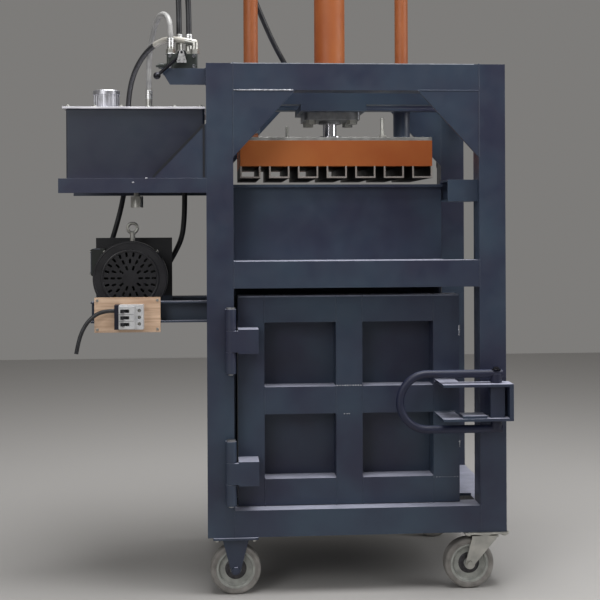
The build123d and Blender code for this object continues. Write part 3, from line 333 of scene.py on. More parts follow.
def enamel(name, deep, pale, edge, dust, roughness=0.42, edge_radius=1.2, dust_and_light_share=0.85, painted_shade_above=None):
    """Satin enamel over welded steel, with thin spots, edges rubbed off that are partly a painted highlight,
    dusty ledges that are partly painted light, and painted shade above a height if asked.
    """
    material, tree, shader = new_material(name, deep, roughness, ior=1.5)
    drift = ramp(tree, noise(tree, TONE_PATCH, 4.0), 0.38, 0.64)
    coat = mix(tree, drift, deep, pale)
    # Painted shade: above the given height the coat turns near black.
    if painted_shade_above:
        coat = mix(tree, beyond(tree, "Z", painted_shade_above, painted_shade_above + PAINTED_SHADE_FADE * MM), coat, PAINTED_SHADE)
    # Edges take the edge colour, which is partly wear and partly a painted highlight.
    edges, rounded = edge_mask(tree, edge_radius)
    patchy = ramp(tree, noise(tree, RUBBED_PATCH, 5.0), 0.35, 0.62)
    rubbed = mix(tree, product(tree, edges, ramp(tree, patchy, 0, 1, 0, EDGE_WEAR_AND_HIGHLIGHT)), coat, edge)
    # Upward faces take the pale colour, partly as dust and partly as painted light on the tops.
    settled = ramp(tree, noise(tree, DUST_PATCH, 5.0), 0.2, 0.6, dust_and_light_share * 0.7, dust_and_light_share)
    dusty = mix(tree, product(tree, upward(tree), settled), rubbed, dust)
    tree.links.new(dusty, shader.inputs["Base Color"])
    dull = ramp(tree, noise(tree, GLOSS_PATCH, 4.0), 0.3, 0.7, roughness - 0.06, roughness + 0.1)
    tree.links.new(dull, shader.inputs["Roughness"])
    bump(tree, shader, noise(tree, ORANGE_PEEL, 2.0), PEEL_DEPTH, rounded)
    return material


finishes = {
    # Navy enamel is nearly black in shade and blue grey where light grazes it.
    "frame_paint": enamel("navy_satin_enamel", "#282c41", "#334152", "#666b77", "#b7b9cb"),
    # The tank's coat is the same enamel, a shade darker and with less dust on it.
    "tank_paint": enamel("tank_satin_enamel", "#1d2034", "#252d3b", "#5d626d", "#a5a8b6"),
    # Orange pigment is dense, so this coat keeps its colour in shade. It is rubbed to brown primer.
    "platen_paint": enamel("burnt_orange_enamel", "#b1571f", "#be6c31", "#5b4335", "#c3a389", 0.5),
    # On smooth pressed sheet, dark enamel gives a narrow highlight round the cowl, partly painted by the pale
    # edge colour.
    "cowl_steel": enamel("grey_cowl_enamel", "#141317", "#1d1d22", "#63666c", "#5a5c60",
                         roughness=0.36, edge_radius=1.0, dust_and_light_share=0.4),
    # On cast iron it is duller, and a little green.
    "motor_iron": enamel("cast_iron_enamel", "#191d1b", "#262d29", "#6d7370", "#686a6b",
                         roughness=0.45, edge_radius=1.0, dust_and_light_share=0.4),
}
print("enamels", len(finishes))

# %% [markdown]
# ## Bare and plated metal
# The channels under the platen are dark steel, pale on their faces that look to the front. The rod is hard
# chrome. The casters and bolts are zinc plated, which is paler and a little cloudy. Metals keep the shader's
# own IOR, and all their character comes from colour and from how the roughness changes over the surface.
# The lines of a ground surface are far finer than a pixel, so they are drawn 1.2 mm apart.

# %% Metal finishes
GROUND_LINES, LINE_DEPTH = 1.2, 0.005
FACING_FRONT = (-0.8, -0.95)


def metal(name, dark, light, roughness, spread, cloud, scratch=None, front_colour=None):
    """Bare or plated metal, cloudy in tone and gloss, with ground lines, or a paler colour on faces that look
    to the front, if asked.
    """
    material, tree, shader = new_material(name, dark, roughness, metallic=1.0)
    cloudy = ramp(tree, noise(tree, cloud, 5.0), 0.32, 0.68)
    tone = mix(tree, cloudy, dark, light)
    # Faces that look to the front take the paler colour, and are less metallic.
    if front_colour:
        place = put(tree, "ShaderNodeTexCoord", {})
        parts = put(tree, "ShaderNodeSeparateXYZ", {}, {0: place.outputs["Normal"]})
        facing_front_mask = ramp(tree, parts.outputs["Y"], *FACING_FRONT)
        tone = mix(tree, facing_front_mask, tone, front_colour)
        tree.links.new(ramp(tree, facing_front_mask, 0, 1, 1, 0.2), shader.inputs["Metallic"])
    tree.links.new(tone, shader.inputs["Base Color"])
    rounded = edge_mask(tree, 0.8)[1]
    lines = noise(tree, cloud if scratch is None else GROUND_LINES, 4.0, scratch or (1, 1, 1))
    tree.links.new(ramp(tree, lines, 0.3, 0.7, roughness - spread, roughness + spread),
                   shader.inputs["Roughness"])
    bump(tree, shader, lines, LINE_DEPTH, rounded)
    return material


# Rolled steel is a middle grey with a broad, dull shine.
finishes["bare_steel"] = metal("rolled_mild_steel", "#75767a", "#a2a3a6", 0.42, 0.12, 30.0)
# Hard chrome is nearly a mirror, with lines along the rod from grinding.
finishes["bright_rod"] = metal("hard_chrome", "#b4b5ba", "#d4d4da", 0.2, 0.05, 50.0, (1, 1, 0.05))
# Zinc plate is pale and cloudy, with a soft shine.
finishes["zinc_plate"] = metal("zinc_plate", "#a3a39f", "#c4c3bd", 0.36, 0.08, 40.0)
print("metals", ["bare_steel", "bright_rod", "zinc_plate"])

# %% [markdown]
# ## Finishes of single pieces
# A few pieces differ from the rest of their material. The cylinder and the guide tubes have a darker, browner
# orange than the platen, as painted shade, because their round faces catch more of the lamp. Above a height,
# the motor's rails turn near black as painted shade, and the latch handle's enamel is darkened as painted
# shade against the highlight on its round bar. The platen's channels are dark, and only their faces that look
# to the front are pale. Each such piece gets a finish from the same two functions, so it still looks like one
# of its family.

# %% Finishes of single pieces
PAINTED_SHADE_LINE = 878.0
own_finishes = {
    # Painted shade: the platen's orange, darker and browner, on the round cylinder and guide tubes.
    "cylinder_barrel": enamel("ram_enamel_painted_shade", "#8c4418", "#9c5826", "#5b4335", "#b8967c", 0.5),
    "guide_tubes": enamel("guide_enamel_painted_shade", "#7f4019", "#935126", "#5b4335", "#b8967c", 0.5),
    # Painted shade: near black above a height on the motor's rails.
    "motor_rails": enamel("rail_enamel_painted_shade", "#2b2f41", "#364352", "#6d727d", "#9fa2b2",
                          painted_shade_above=PAINTED_SHADE_LINE * MM),
    # Painted shade: the handle's enamel is darker against the highlight on its round bar.
    "latch_handle": enamel("handle_enamel_painted_shade", "#13162e", "#1a223c", "#434858", "#40465c", 0.5),
    # Dark steel, pale on the faces that look to the front.
    "platen_channels": metal("dark_channel_steel", "#2b2725", "#474240", 0.5, 0.1, 20.0, front_colour="#aaa29b"),
    # A ground plate is bright, and its lines scatter light enough to look white from the front.
    "platen_cover": metal("ground_plate", "#b4b4b2", "#d9d9d6", 0.42, 0.1, 30.0),
    # Satin aluminium has a soft, slightly blue shine.
    "breather_cap": metal("satin_aluminium", "#a6a6ab", "#c9c9cf", 0.4, 0.06, 30.0),
    "chamber_walls": finishes["frame_paint"],
    # Hot-dip galvanised sheet is very pale and has hardly any shine.
    "tank_lid": metal("galvanised_lid", "#d3d2da", "#f1f0f5", 0.62, 0.08, 60.0),
}
print("single pieces with their own finish", len(own_finishes))

# %% [markdown]
# ## Rubber, plastic and plywood
# Hose covers are smooth extruded rubber. The tyres are grey rubber that leaves no marks. The breaker is
# moulded in off-white and black plastic, and its left end is painted dark as shade. The board is plywood: its
# face shows long grain, and its edges show thin plies, light and dark in turn. The grain of a steel mould is
# finer than a pixel, so it is drawn 0.8 mm wide.

# %% Soft and moulded finishes
PLY = 1.5
WAVES_A_METRE = 3.1
HANDLED_PATCH, SKIN_DEPTH = 35.0, 0.04
MOULD_PATCH, MOULD_GRAIN, MOULD_DEPTH = 20.0, 0.8, 0.02
WOOD_GRAIN, ALONG_X, WOOD_DEPTH = 6.0, (0.06, 1, 1), 0.06
BREAKER_SHADED_END = 13.5


def rubber(name, deep, pale, roughness, grain=1.6):
    """Rubber with a fine matt skin and a little rubbed-off dust."""
    material, tree, shader = new_material(name, deep, roughness, ior=1.52)
    handled = ramp(tree, noise(tree, HANDLED_PATCH, 5.0), 0.35, 0.7)
    tree.links.new(mix(tree, handled, deep, pale), shader.inputs["Base Color"])
    bump(tree, shader, noise(tree, grain, 2.0), SKIN_DEPTH)
    return material


def moulded(name, colour, shade, roughness, shaded_end=None):
    """Moulded plastic with a fine spark-eroded grain, and painted shade on its end up to a place along X if
    asked.
    """
    material, tree, shader = new_material(name, colour, roughness, ior=1.46)
    tone = mix(tree, ramp(tree, noise(tree, MOULD_PATCH, 4.0), 0.3, 0.7), colour, shade)
    if shaded_end:
        # Painted shade: the end below the given place along X is near black.
        tone = mix(tree, beyond(tree, "X", shaded_end, shaded_end + 0.5 * MM), "#1b1c2c", tone)
    tree.links.new(tone, shader.inputs["Base Color"])
    rounded = edge_mask(tree, 0.6)[1]
    bump(tree, shader, noise(tree, MOULD_GRAIN, 2.0), MOULD_DEPTH, rounded)
    return material


def plywood():
    """Birch plywood: grain along X on the faces, stacked plies on the edges."""
    material, tree, shader = new_material("birch_plywood", "#9f7c52", 0.62, ior=1.5)
    grain = noise(tree, WOOD_GRAIN, 6.0, ALONG_X)
    face = mix(tree, ramp(tree, grain, 0.35, 0.65), "#bb9a80", "#d9bba0")
    place = put(tree, "ShaderNodeTexCoord", {})
    plies = put(tree, "ShaderNodeTexWave", {"bands_direction": "Y", "Distortion": 0.3,
                                            "Scale": 1 / (2 * PLY * MM) / WAVES_A_METRE},
                {"Vector": place.outputs["Object"]})
    edge = mix(tree, plies.outputs["Fac"], "#7c5f45", "#bd9c7a")
    parts = put(tree, "ShaderNodeSeparateXYZ", {}, {0: place.outputs["Normal"]})
    towards = put(tree, "ShaderNodeMath", {"operation": "ABSOLUTE"}, {0: parts.outputs["Y"]}).outputs[0]
    tree.links.new(mix(tree, ramp(tree, towards, 0.4, 0.6), edge, face), shader.inputs["Base Color"])
    bump(tree, shader, grain, WOOD_DEPTH)
    return material


# Sawn birch is matt and warm.
finishes["plywood"] = plywood()
# Black hose rubber is smooth from extrusion, so it has one long highlight.
finishes["hose_black"] = rubber("black_hose_rubber", "#17181b", "#2c2d31", 0.38)
finishes["hose_grey"] = rubber("grey_hose_cover", "#8a8a8a", "#a9a8a6", 0.45)
# Tyre rubber is matt, and paler where it rolls on dusty ground.
finishes["caster_tyre"] = rubber("grey_tyre_rubber", "#706d6a", "#8f8c88", 0.6)
# Polyamide has a soft satin shine in either colour.
finishes["black_plastic"] = moulded("black_polyamide", "#1c1d20", "#26272a", 0.4)
finishes["white_plastic"] = moulded("off_white_polyamide", "#c9c9c9", "#b9babd", 0.35)
# The breaker's left end gets painted shade.
own_finishes["circuit_breaker"] = moulded("polyamide_painted_shade_end", "#c9c9c9", "#b9babd", 0.35,
                                          shaded_end=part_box("circuit_breaker")[0].x + BREAKER_SHADED_END * MM)
print("finishes", len(finishes) + len(own_finishes))

# %% [markdown]
# ## Painting the solids
# On the real machine each part was finished before or after assembly as its material asked. The
# record names the material of every solid, so one loop can look its finish up, and a piece with a
# finish of its own takes that instead. The return hose is the only grey one.

# %% Paint the solids


def finish_piece(piece, material):
    """Give a piece one material in place of any it has."""
    piece.data.materials.clear()
    piece.data.materials.append(material)


for part in frame["record"]["subparts"]:
    usual = finishes[part["material_slot"]]
    finish_piece(frame["nodes"][part["node"]], own_finishes.get(part["node"], usual))
for name, piece in cords.items():
    slot = "hose_grey" if name == "return_hose" else "hose_black"
    finish_piece(piece, finishes[slot])

# %% [markdown]
# ## Helpers for new pieces
# Every small piece is built in a bmesh and handed over in the same way: doubles merged, normals
# recalculated so that they point outwards, shaded smooth with its real corners kept sharp, painted,
# and told which moving body it rides on. One helper does that, so no piece can miss a step.

# %% Helpers for new pieces
FRONT, BACK, LEFT, RIGHT, UP = (0, -1, 0), (0, 1, 0), (-1, 0, 0), (1, 0, 0), (0, 0, 1)


def new_piece(name, shape, body, slot, finish=None, sharp=35):
    """Turn a bmesh into a smooth-shaded piece with a finish that rides on a body."""
    bmesh.ops.remove_doubles(shape, verts=shape.verts, dist=0.01 * MM)
    bmesh.ops.recalc_face_normals(shape, faces=shape.faces)
    mesh = bpy.data.meshes.new(name)
    shape.to_mesh(mesh)
    shape.free()
    mesh.shade_smooth()
    mesh.set_sharp_from_angle(angle=math.radians(sharp))
    piece = bpy.data.objects.new(name, mesh)
    scene.collection.objects.link(piece)
    finish_piece(piece, finish or finishes[slot])
    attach(piece, body)
    return piece


def facing(direction):
    """A rotation that turns the Z axis to a direction."""
    return Vector(direction).to_track_quat("Z", "Y").to_matrix().to_4x4()


print("directions", FRONT, BACK, LEFT, RIGHT, UP)

# %% [markdown]
# ## Weld beads
# A bead is a row of small overlapping ripples, one for each pulse of the arc. It could be a tube with
# a bumpy texture, but flattened spheres a few millimetres apart give the true outline with very few
# faces each. A fixed seed makes the row a little uneven in the same way on every run. Each row has a
# bmesh of its own, because adding spheres to a bmesh that already holds thousands is slow.

# %% Weld beads
RIPPLE_SIDES, RIPPLE_RINGS = 8, 4
uneven = random.Random(7)


def bead(shape, start, end, out, width=6.0, rise=1.6, step=3.2):
    """A weld bead between two points in millimetres, raised along the direction out."""
    first, last = at(*start), at(*end)
    count = max(1, round((last - first).length / (step * MM)))
    row = bmesh.new()
    for i in range(count + 1):
        swell = uneven.uniform(0.85, 1.15)
        size = Matrix.Diagonal((width / 2 * swell * MM, width / 2 * swell * MM, rise * swell * MM, 1))
        place = Matrix.Translation(first.lerp(last, i / count))
        bmesh.ops.create_uvsphere(row, u_segments=RIPPLE_SIDES, v_segments=RIPPLE_RINGS, radius=1.0,
                                  matrix=place @ facing(out) @ size)
    ripple = bpy.data.meshes.new("ripple")
    row.to_mesh(ripple)
    row.free()
    shape.from_mesh(ripple)
    bpy.data.meshes.remove(ripple)


print("a bead of 80 mm has", round(80 / 3.2) + 1, "ripples")

# %% [markdown]
# ## Welds of the frame
# The frame is welded from cut tube, so there is a bead wherever a beam, a rail or a gusset meets a
# post. They lie under the paint, and most were ground nearly flat. The bead over the left gusset and
# two tacks on the tank's bracket were made later and are still bright.

# %% Welds of the frame
(frame_x0, frame_y0, frame_z0), (frame_x1, frame_y1, frame_z1) = span("corner_posts")
gusset_low, gusset_high = span("corner_gussets")
gusset_top = gusset_high.z
arm_low, arm_high = span("valve_arm")
bracket_front = span("tank_brackets")[0].y
TUBE, GUSSET = 80.0, 185.0
MIDDLE_BEAM, MIDDLE_RAIL = 915.0, 805.0
ARM_WELD = 20.0
# Each kind of bead has a width and a rise.
FLATTED, SEAM, FILLET = (5.0, 0.6), (5.0, 0.9), (6.0, 3.0)
inner_x0, inner_x1 = frame_x0 + TUBE, frame_x1 - TUBE
beam_levels = (frame_z0, MIDDLE_BEAM, frame_z1 - TUBE)

painted = bmesh.new()
for y, out in ((frame_y0, FRONT), (frame_y1, BACK)):
    for x in (inner_x0, inner_x1):
        for z in beam_levels:
            bead(painted, (x, y, z), (x, y, z + TUBE), out, *FLATTED)
        bead(painted, (x, y, gusset_low.z), (x, y, gusset_top), out, *SEAM)
bead(painted, (inner_x1 - GUSSET, frame_y0, gusset_top), (inner_x1, frame_y0, gusset_top), FRONT, *SEAM)
for x in (inner_x0, inner_x1 - GUSSET):
    bead(painted, (x, frame_y1, gusset_top), (x + GUSSET, frame_y1, gusset_top), BACK, *SEAM)
for x, out in ((frame_x0, LEFT), (frame_x1, RIGHT)):
    for y in (frame_y0 + TUBE, frame_y1 - TUBE):
        for z in (frame_z0, frame_z1 - TUBE):
            bead(painted, (x, y, z), (x, y, z + TUBE), out, *FLATTED)
for y in (frame_y0 + TUBE, frame_y1 - TUBE):
    bead(painted, (frame_x0, y, MIDDLE_RAIL), (frame_x0, y, MIDDLE_RAIL + TUBE), LEFT, *FLATTED)
bead(painted, (frame_x0, arm_low.y, arm_low.z), (frame_x0, arm_low.y, arm_high.z), (-1, -1, 0), *FILLET)
bead(painted, (frame_x0, arm_low.y, arm_high.z), (frame_x0, arm_low.y + ARM_WELD, arm_high.z),
     (-1, 0, 1), *FILLET)
new_piece("frame_welds", painted, "frame", "frame_paint")

# %% Bright welds
TACKS = ((-217.0, 1231.0), (-178.0, 1243.5))
TACK = 3.0
BEAD_START, BEAD_END = 4.0, 8.0

fresh = bmesh.new()
first_x, last_x = inner_x0 + BEAD_START, inner_x0 + GUSSET - BEAD_END
bead(fresh, (first_x, frame_y0, gusset_top), (last_x, frame_y0, gusset_top), FRONT,
     width=5.6, rise=2.4, step=5.0)
for x, z in TACKS:
    bead(fresh, (x, bracket_front, z), (x + TACK, bracket_front, z), FRONT, width=5.0)
# Unpainted weld metal is bright and slightly blue, with dull patches where slag came off.
weld_steel = metal("fresh_weld", "#8b8d95", "#e6e7ec", 0.5, 0.1, 8.0)
new_piece("fresh_welds", fresh, "frame", "bare_steel", weld_steel)
print("bright welds", 1 + len(TACKS))

# %% [markdown]
# ## Welds on the door and the latch
# The door is a grid of the same tube. Its seams were welded and flatted, so only a low painted ripple
# is left, with a few spots of bright metal where the grinder went through the paint. The strap's feet
# have heavy fillets, because the whole locking force goes through them.

# %% Painted welds of the door
door_low, door_high = span("door_frame")
strap_low, strap_high = span("latch_strap")
CROSS_RAIL = 82.0
LOW_RIPPLE = (5.0, 0.5)
STRAP_FOOT, STRAP_PLATE, STRAP_FILLET = 60.0, 8.0, (7.0, 4.0)
window_width = (door_high.x - door_low.x - 3 * TUBE) / 2
cross_rail = door_low.z + (door_high.z - door_low.z - CROSS_RAIL) / 2
rail_heights = ((door_low.z, TUBE), (cross_rail, CROSS_RAIL), (door_high.z - TUBE, TUBE))

grid = bmesh.new()
for column in (0, 1):
    x0 = door_low.x + TUBE + column * (window_width + TUBE)
    for z, height in rail_heights:
        for x in (x0, x0 + window_width):
            for y, out in ((door_low.y, FRONT), (door_high.y, BACK)):
                bead(grid, (x, y, z), (x, y, z + height), out, *LOW_RIPPLE)
for plate in (strap_low.z, strap_high.z - STRAP_PLATE):
    for z, lean in ((plate, -1), (plate + STRAP_PLATE, 1)):
        bead(grid, (strap_low.x, door_low.y, z), (strap_low.x + STRAP_FOOT, door_low.y, z),
             (0, -1, lean), *STRAP_FILLET)
new_piece("door_welds", grid, "door", "frame_paint")
print("windows of the door", round(window_width), "mm wide")

# %% Bright spots on the door
# Spots lie in a row above the cross rail, in three places below it, along the bottom seam and in two
# places on the door's free edge. Each kind has a width, a rise and, if it isn't the usual, a step.
SPOT, SPOT_PITCH, OFF_SEAM = 2.0, 8, 2
LOWER_PLACES, BELOW_SEAM, EDGE_SETBACK, SEAM_END = (24, 32, 38), 4.0, 3.0, 6.0
UPPER_SPOTS, LOWER_SPOTS, SEAM_SPOTS = (3.6, 0.9), (3.2, 0.9), (2.6, 0.6, 9.0)
EDGE_SPOTS, EDGE_BLOB = ((766, 792), (425, 440)), (8.0, 4.0, 5.0)
middle_left = door_low.x + TUBE + window_width
middle_right = door_high.x - TUBE - window_width
cross_top = cross_rail + CROSS_RAIL
bottom_seam = door_low.z + TUBE - BELOW_SEAM

spots = bmesh.new()
for x in range(round(middle_left) + OFF_SEAM, round(middle_right) - OFF_SEAM, SPOT_PITCH):
    z = cross_top + OFF_SEAM
    bead(spots, (x, door_low.y, z), (x + SPOT, door_low.y, z), FRONT, *UPPER_SPOTS)
for place in LOWER_PLACES:
    x, z = middle_left + place, cross_rail - OFF_SEAM
    bead(spots, (x, door_low.y, z), (x + SPOT, door_low.y, z), FRONT, *LOWER_SPOTS)
bead(spots, (door_high.x - TUBE, door_low.y, bottom_seam), (door_high.x - SEAM_END, door_low.y, bottom_seam),
     FRONT, *SEAM_SPOTS)
edge_y = door_low.y + EDGE_SETBACK
for low, high in EDGE_SPOTS:
    bead(spots, (door_high.x, edge_y, low), (door_high.x, edge_y, high), (1, -1, 0), *EDGE_BLOB)
new_piece("door_weld_spots", spots, "door", "bare_steel", weld_steel)
print("cross rail's upper edge at", round(cross_top), "mm")

# %% [markdown]
# ## Screws and bolts
# A hexagon head sits on a thin washer and has a small chamfer from forging. A socket cap screw is a
# short round head with a recess. Each is one cone primitive with six or more sides whose top face is
# inset and whose rim is pushed down, and the recess is the same face inset and pushed down again.

# %% Fastener helpers


def disc(shape, place, axis, radius, height, sides=20, recess=0.0, inset=0.0):
    """A short bar that stands on place along axis, with a chamfered top and a recess if asked."""
    middle = Matrix.Translation(place + Vector(axis).normalized() * height / 2 * MM) @ facing(axis)
    made = bmesh.ops.create_cone(shape, cap_ends=True, segments=sides, radius1=radius * MM,
                                 radius2=radius * MM, depth=height * MM, matrix=middle)
    faces = {face for vert in made["verts"] for face in vert.link_faces}
    top = max(faces, key=lambda face: face.calc_center_median().dot(Vector(axis)))
    chamfer = min(0.12 * radius, 0.3 * height) * MM
    bmesh.ops.inset_region(shape, faces=[top], thickness=chamfer, depth=0)
    rim = [vert for vert in made["verts"] if vert.is_valid and vert not in set(top.verts)
           and (vert.co - place).dot(Vector(axis)) > 0.6 * height * MM]
    bmesh.ops.translate(shape, verts=rim, vec=-Vector(axis).normalized() * chamfer)
    if recess:
        bmesh.ops.inset_region(shape, faces=[top], thickness=inset * MM, depth=0)
        bmesh.ops.translate(shape, verts=list(top.verts), vec=-Vector(axis).normalized() * recess * MM)


def hex_head(shape, place, axis, across):
    """A hexagon head on its washer."""
    disc(shape, place, axis, across * 0.95, 1.6, 24)
    disc(shape, place + Vector(axis) * 1.4 * MM, axis, across * 0.577, across * 0.42, 6)


def cap_screw(shape, place, axis, radius):
    """A socket cap screw."""
    disc(shape, place, axis, radius, radius * 1.1, 18, radius * 0.6, radius * 0.42)


print("a head 10 mm across is", 10 * 0.42, "mm high")

# %% [markdown]
# ## Bolts of the lid, screws of the valve
# The tank's lid is held down all round by small hexagon bolts near its edge. The valve's front plate
# has a cap screw in each corner. Both are placed from the corners of the solid that they hold.

# %% Lid bolts and valve screws
LID_MARGIN, LID_BOLT = 14.0, 10.0
LONG_SIDE_BOLTS, SHORT_SIDE_BOLTS = 6, (105, 200, 295)
lid_low, lid_high = span("tank_lid")
lid_bolts = bmesh.new()
for i in range(LONG_SIDE_BOLTS):
    x = lid_low.x + LID_MARGIN + i * (lid_high.x - lid_low.x - 2 * LID_MARGIN) / (LONG_SIDE_BOLTS - 1)
    for y in (lid_low.y + LID_MARGIN, lid_high.y - LID_MARGIN):
        hex_head(lid_bolts, at(x, y, lid_high.z), UP, LID_BOLT)
for along in SHORT_SIDE_BOLTS:
    for x in (lid_low.x + LID_MARGIN, lid_high.x - LID_MARGIN):
        hex_head(lid_bolts, at(x, lid_low.y + along, lid_high.z), UP, LID_BOLT)
new_piece("lid_bolts", lid_bolts, "frame", "zinc_plate")

VALVE_FRONT, VALVE_SCREW = 75.0, 5.0
VALVE_SCREWS_X, VALVE_FOOT, VALVE_HEAD = (-108.0, -36.0), 8.0, 16.0
valve_low, valve_high = span("valve_body")
valve_screws = bmesh.new()
for x in VALVE_SCREWS_X:
    for z in (valve_low.z + VALVE_FOOT, valve_high.z - VALVE_HEAD):
        cap_screw(valve_screws, at(x, VALVE_FRONT, z), FRONT, VALVE_SCREW)
new_piece("valve_screws", valve_screws, "frame", "bare_steel")
print("bolts in the lid", 2 * LONG_SIDE_BOLTS + 2 * len(SHORT_SIDE_BOLTS))

# %% [markdown]
# ## Caster wheels
# A wheel is two materials: a tyre of solid rubber, and a moulded rim with a deep dish, whose middle is
# capped by a pressed cover on each side. All three are round, so each is one outline spun about the
# axle. An outline is a list of radii and offsets, with the tyre's shoulders as arcs.

# %% Spinning an outline


def spun(shape, outline, centre, sides=64):
    """Spin a closed outline of (radius, offset) pairs in millimetres about an axle along Y."""
    ring = [shape.verts.new(centre + Vector((radius * MM, offset * MM, 0))) for radius, offset in outline]
    edges = [shape.edges.new(pair) for pair in zip(ring, ring[1:] + ring[:1])]
    bmesh.ops.spin(shape, geom=ring + edges, cent=centre, axis=(0, 1, 0), angle=math.tau, steps=sides,
                   use_merge=True)


def both_sides(half):
    """Close an outline: one half, and the same half on the other side in reverse order."""
    return half + [(radius, -offset) for radius, offset in reversed(half)]


print("a closed outline from two points has", len(both_sides([(1, 1), (2, 1)])), "points")

# %% Wheels
WHEEL, TREAD, RIM = 75.0, 22.0, 58.0
SHOULDER, SHOULDER_STEPS = 7.0, 6
arc = [math.pi / 2 * i / SHOULDER_STEPS for i in range(SHOULDER_STEPS + 1)]
corner = [(WHEEL - SHOULDER + SHOULDER * math.cos(a), TREAD - SHOULDER + SHOULDER * math.sin(a)) for a in arc]
# Inside the shoulder, a fine groove runs round the tyre's side.
tyre_outline = both_sides(corner + [(65.0, TREAD), (64.2, TREAD - 0.9), (63.4, TREAD), (RIM, TREAD - 1.5)])
rim_outline = both_sides([(RIM, 19), (52, 19), (51, 18), (50, 11), (48, 9), (16, 9), (16, 24), (15.5, 24.5),
                          (6.1, 24.5)])
cover_outline = [(16.1, 8.9), (16.1, 13), (28, 12), (32, 9.5), (32, 8.9)]
# Polypropylene is a dull plastic with a waxy shine. Pressed steel without paint goes dark and dull.
rim_finish = moulded("grey_polypropylene", "#a9aba6", "#8d8f8b", 0.45)
cover_finish = metal("dull_pressed_steel", "#3c3b3e", "#5a595b", 0.45, 0.08, 12.0)

for wheel in ("wheel_front_left", "wheel_front_right", "wheel_rear_left", "wheel_rear_right"):
    low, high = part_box(wheel)
    axle = (low + high) / 2
    tyre, rim, covers = bmesh.new(), bmesh.new(), bmesh.new()
    spun(tyre, tyre_outline, axle)
    spun(rim, rim_outline, axle)
    for side in (-1, 1):
        spun(covers, [(radius, side * offset) for radius, offset in cover_outline], axle, 40)
    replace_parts(new_piece(wheel + "_tyre", tyre, wheel, "caster_tyre"), wheel)
    new_piece(wheel + "_rim", rim, wheel, "white_plastic", rim_finish)
    new_piece(wheel + "_covers", covers, wheel, "zinc_plate", cover_finish)
print("wheels of", 2 * WHEEL, "mm with a tread of", 2 * TREAD, "mm")

# %% [markdown]
# ## The motor's cowl
# The cowl is pressed from thin sheet. A ridge round the grille and a rolled rim stiffen it, and four
# screws hold its skirt to the end shield. The ridge and the rim are spun outlines too.

# %% Cowl ridges and screws
cowl_low, cowl_high = span("fan_cowl")
cowl_x, cowl_z = (cowl_low.x + cowl_high.x) / 2, (cowl_low.z + cowl_high.z) / 2
cowl_radius = (cowl_high.x - cowl_low.x) / 2
ridge = [(80, 0.4), (80, -1), (81.5, -2.6), (84, -3.2), (86.5, -2.6), (88, -1), (88, 0.4)]
rolled_rim = [(105, 0.4), (107, -1.6), (110, -1.4), (cowl_radius + 0.3, 1), (cowl_radius + 0.4, 6),
              (cowl_radius - 1, 6)]
ridges = bmesh.new()
for outline in (ridge, rolled_rim):
    spun(ridges, outline, at(cowl_x, cowl_low.y, cowl_z), 72)
new_piece("cowl_ridges", ridges, "frame", "cowl_steel")

SKIRT, COWL_SCREW = 7.0, 8.0
LID_CORNER, LID_SCREW = 8.0, 3.4
box_low, box_high = span("terminal_box")
motor_screws = bmesh.new()
for i in range(4):
    turn = math.radians(45 + 90 * i)
    out = (math.cos(turn), 0, math.sin(turn))
    spot = at(cowl_x + cowl_radius * out[0], cowl_high.y - SKIRT, cowl_z + cowl_radius * out[2])
    hex_head(motor_screws, spot, out, COWL_SCREW)
for y in (box_low.y + LID_CORNER, box_high.y - LID_CORNER):
    for z in (box_low.z + LID_CORNER, box_high.z - LID_CORNER):
        cap_screw(motor_screws, at(box_low.x, y, z), LEFT, LID_SCREW)
new_piece("motor_screws", motor_screws, "frame", "zinc_plate")
print("cowl radius", round(cowl_radius), "mm")

# %% [markdown]
# ## The valve's clevis
# The lever hangs in a small bright clevis plate with a dark pin. The plate is a small round eye over a
# wider straight foot, and one operator makes the hull of the two. The lever itself is blackened steel.

# %% Clevis
HUB = (-72.0, 39.9, 1616.0)
PLATE, EYE, EYE_RISE = 4.5, 6.5, 6.0
FOOT_HALF, FOOT_LEVELS = 14.0, (-26.0, -21.0)
PIN, PIN_HEAD, PIN_RISE, SUNK = 3.6, 1.6, 5.0, 0.1
clevis, clevis_pin = bmesh.new(), bmesh.new()
for y in (HUB[1], HUB[1] - PLATE):
    flat = Matrix.Translation(at(HUB[0], y, HUB[2] + EYE_RISE)) @ Matrix.Rotation(math.pi / 2, 4, "X")
    bmesh.ops.create_circle(clevis, segments=20, radius=EYE * MM, matrix=flat)
    for x in (-FOOT_HALF, FOOT_HALF):
        for z in FOOT_LEVELS:
            clevis.verts.new(at(HUB[0] + x, y, HUB[2] + z))
hull = bmesh.ops.convex_hull(clevis, input=clevis.verts)
inside = hull["geom_interior"] + hull["geom_unused"]
spare = [piece for piece in inside if isinstance(piece, bmesh.types.BMVert)]
bmesh.ops.delete(clevis, geom=spare, context="VERTS")
disc(clevis_pin, at(HUB[0], HUB[1] - PLATE + SUNK, HUB[2] + PIN_RISE), FRONT, PIN, PIN_HEAD, 16)
# Fresh zinc is nearly white. Black oxide is a thin dark skin that keeps the steel's shine.
bright_zinc = metal("bright_zinc_clevis", "#cfd0d2", "#efeff0", 0.3, 0.05, 8.0)
black_oxide = metal("black_oxide_steel", "#222226", "#3b3b40", 0.38, 0.08, 14.0)
new_piece("valve_clevis", clevis, "valve_lever", "zinc_plate", bright_zinc)
new_piece("valve_clevis_pin", clevis_pin, "valve_lever", "bare_steel", black_oxide)
finish_piece(frame["nodes"]["valve_lever"], black_oxide)
print("clevis plate", 2 * FOOT_HALF, "mm wide")

# %% [markdown]
# ## Crimped sleeves
# A hydraulic hose is held by a steel sleeve that a press squeezes onto it, which leaves rings. Each
# ring is one low disc round the sleeve, and a long sleeve also has a collar at its foot.

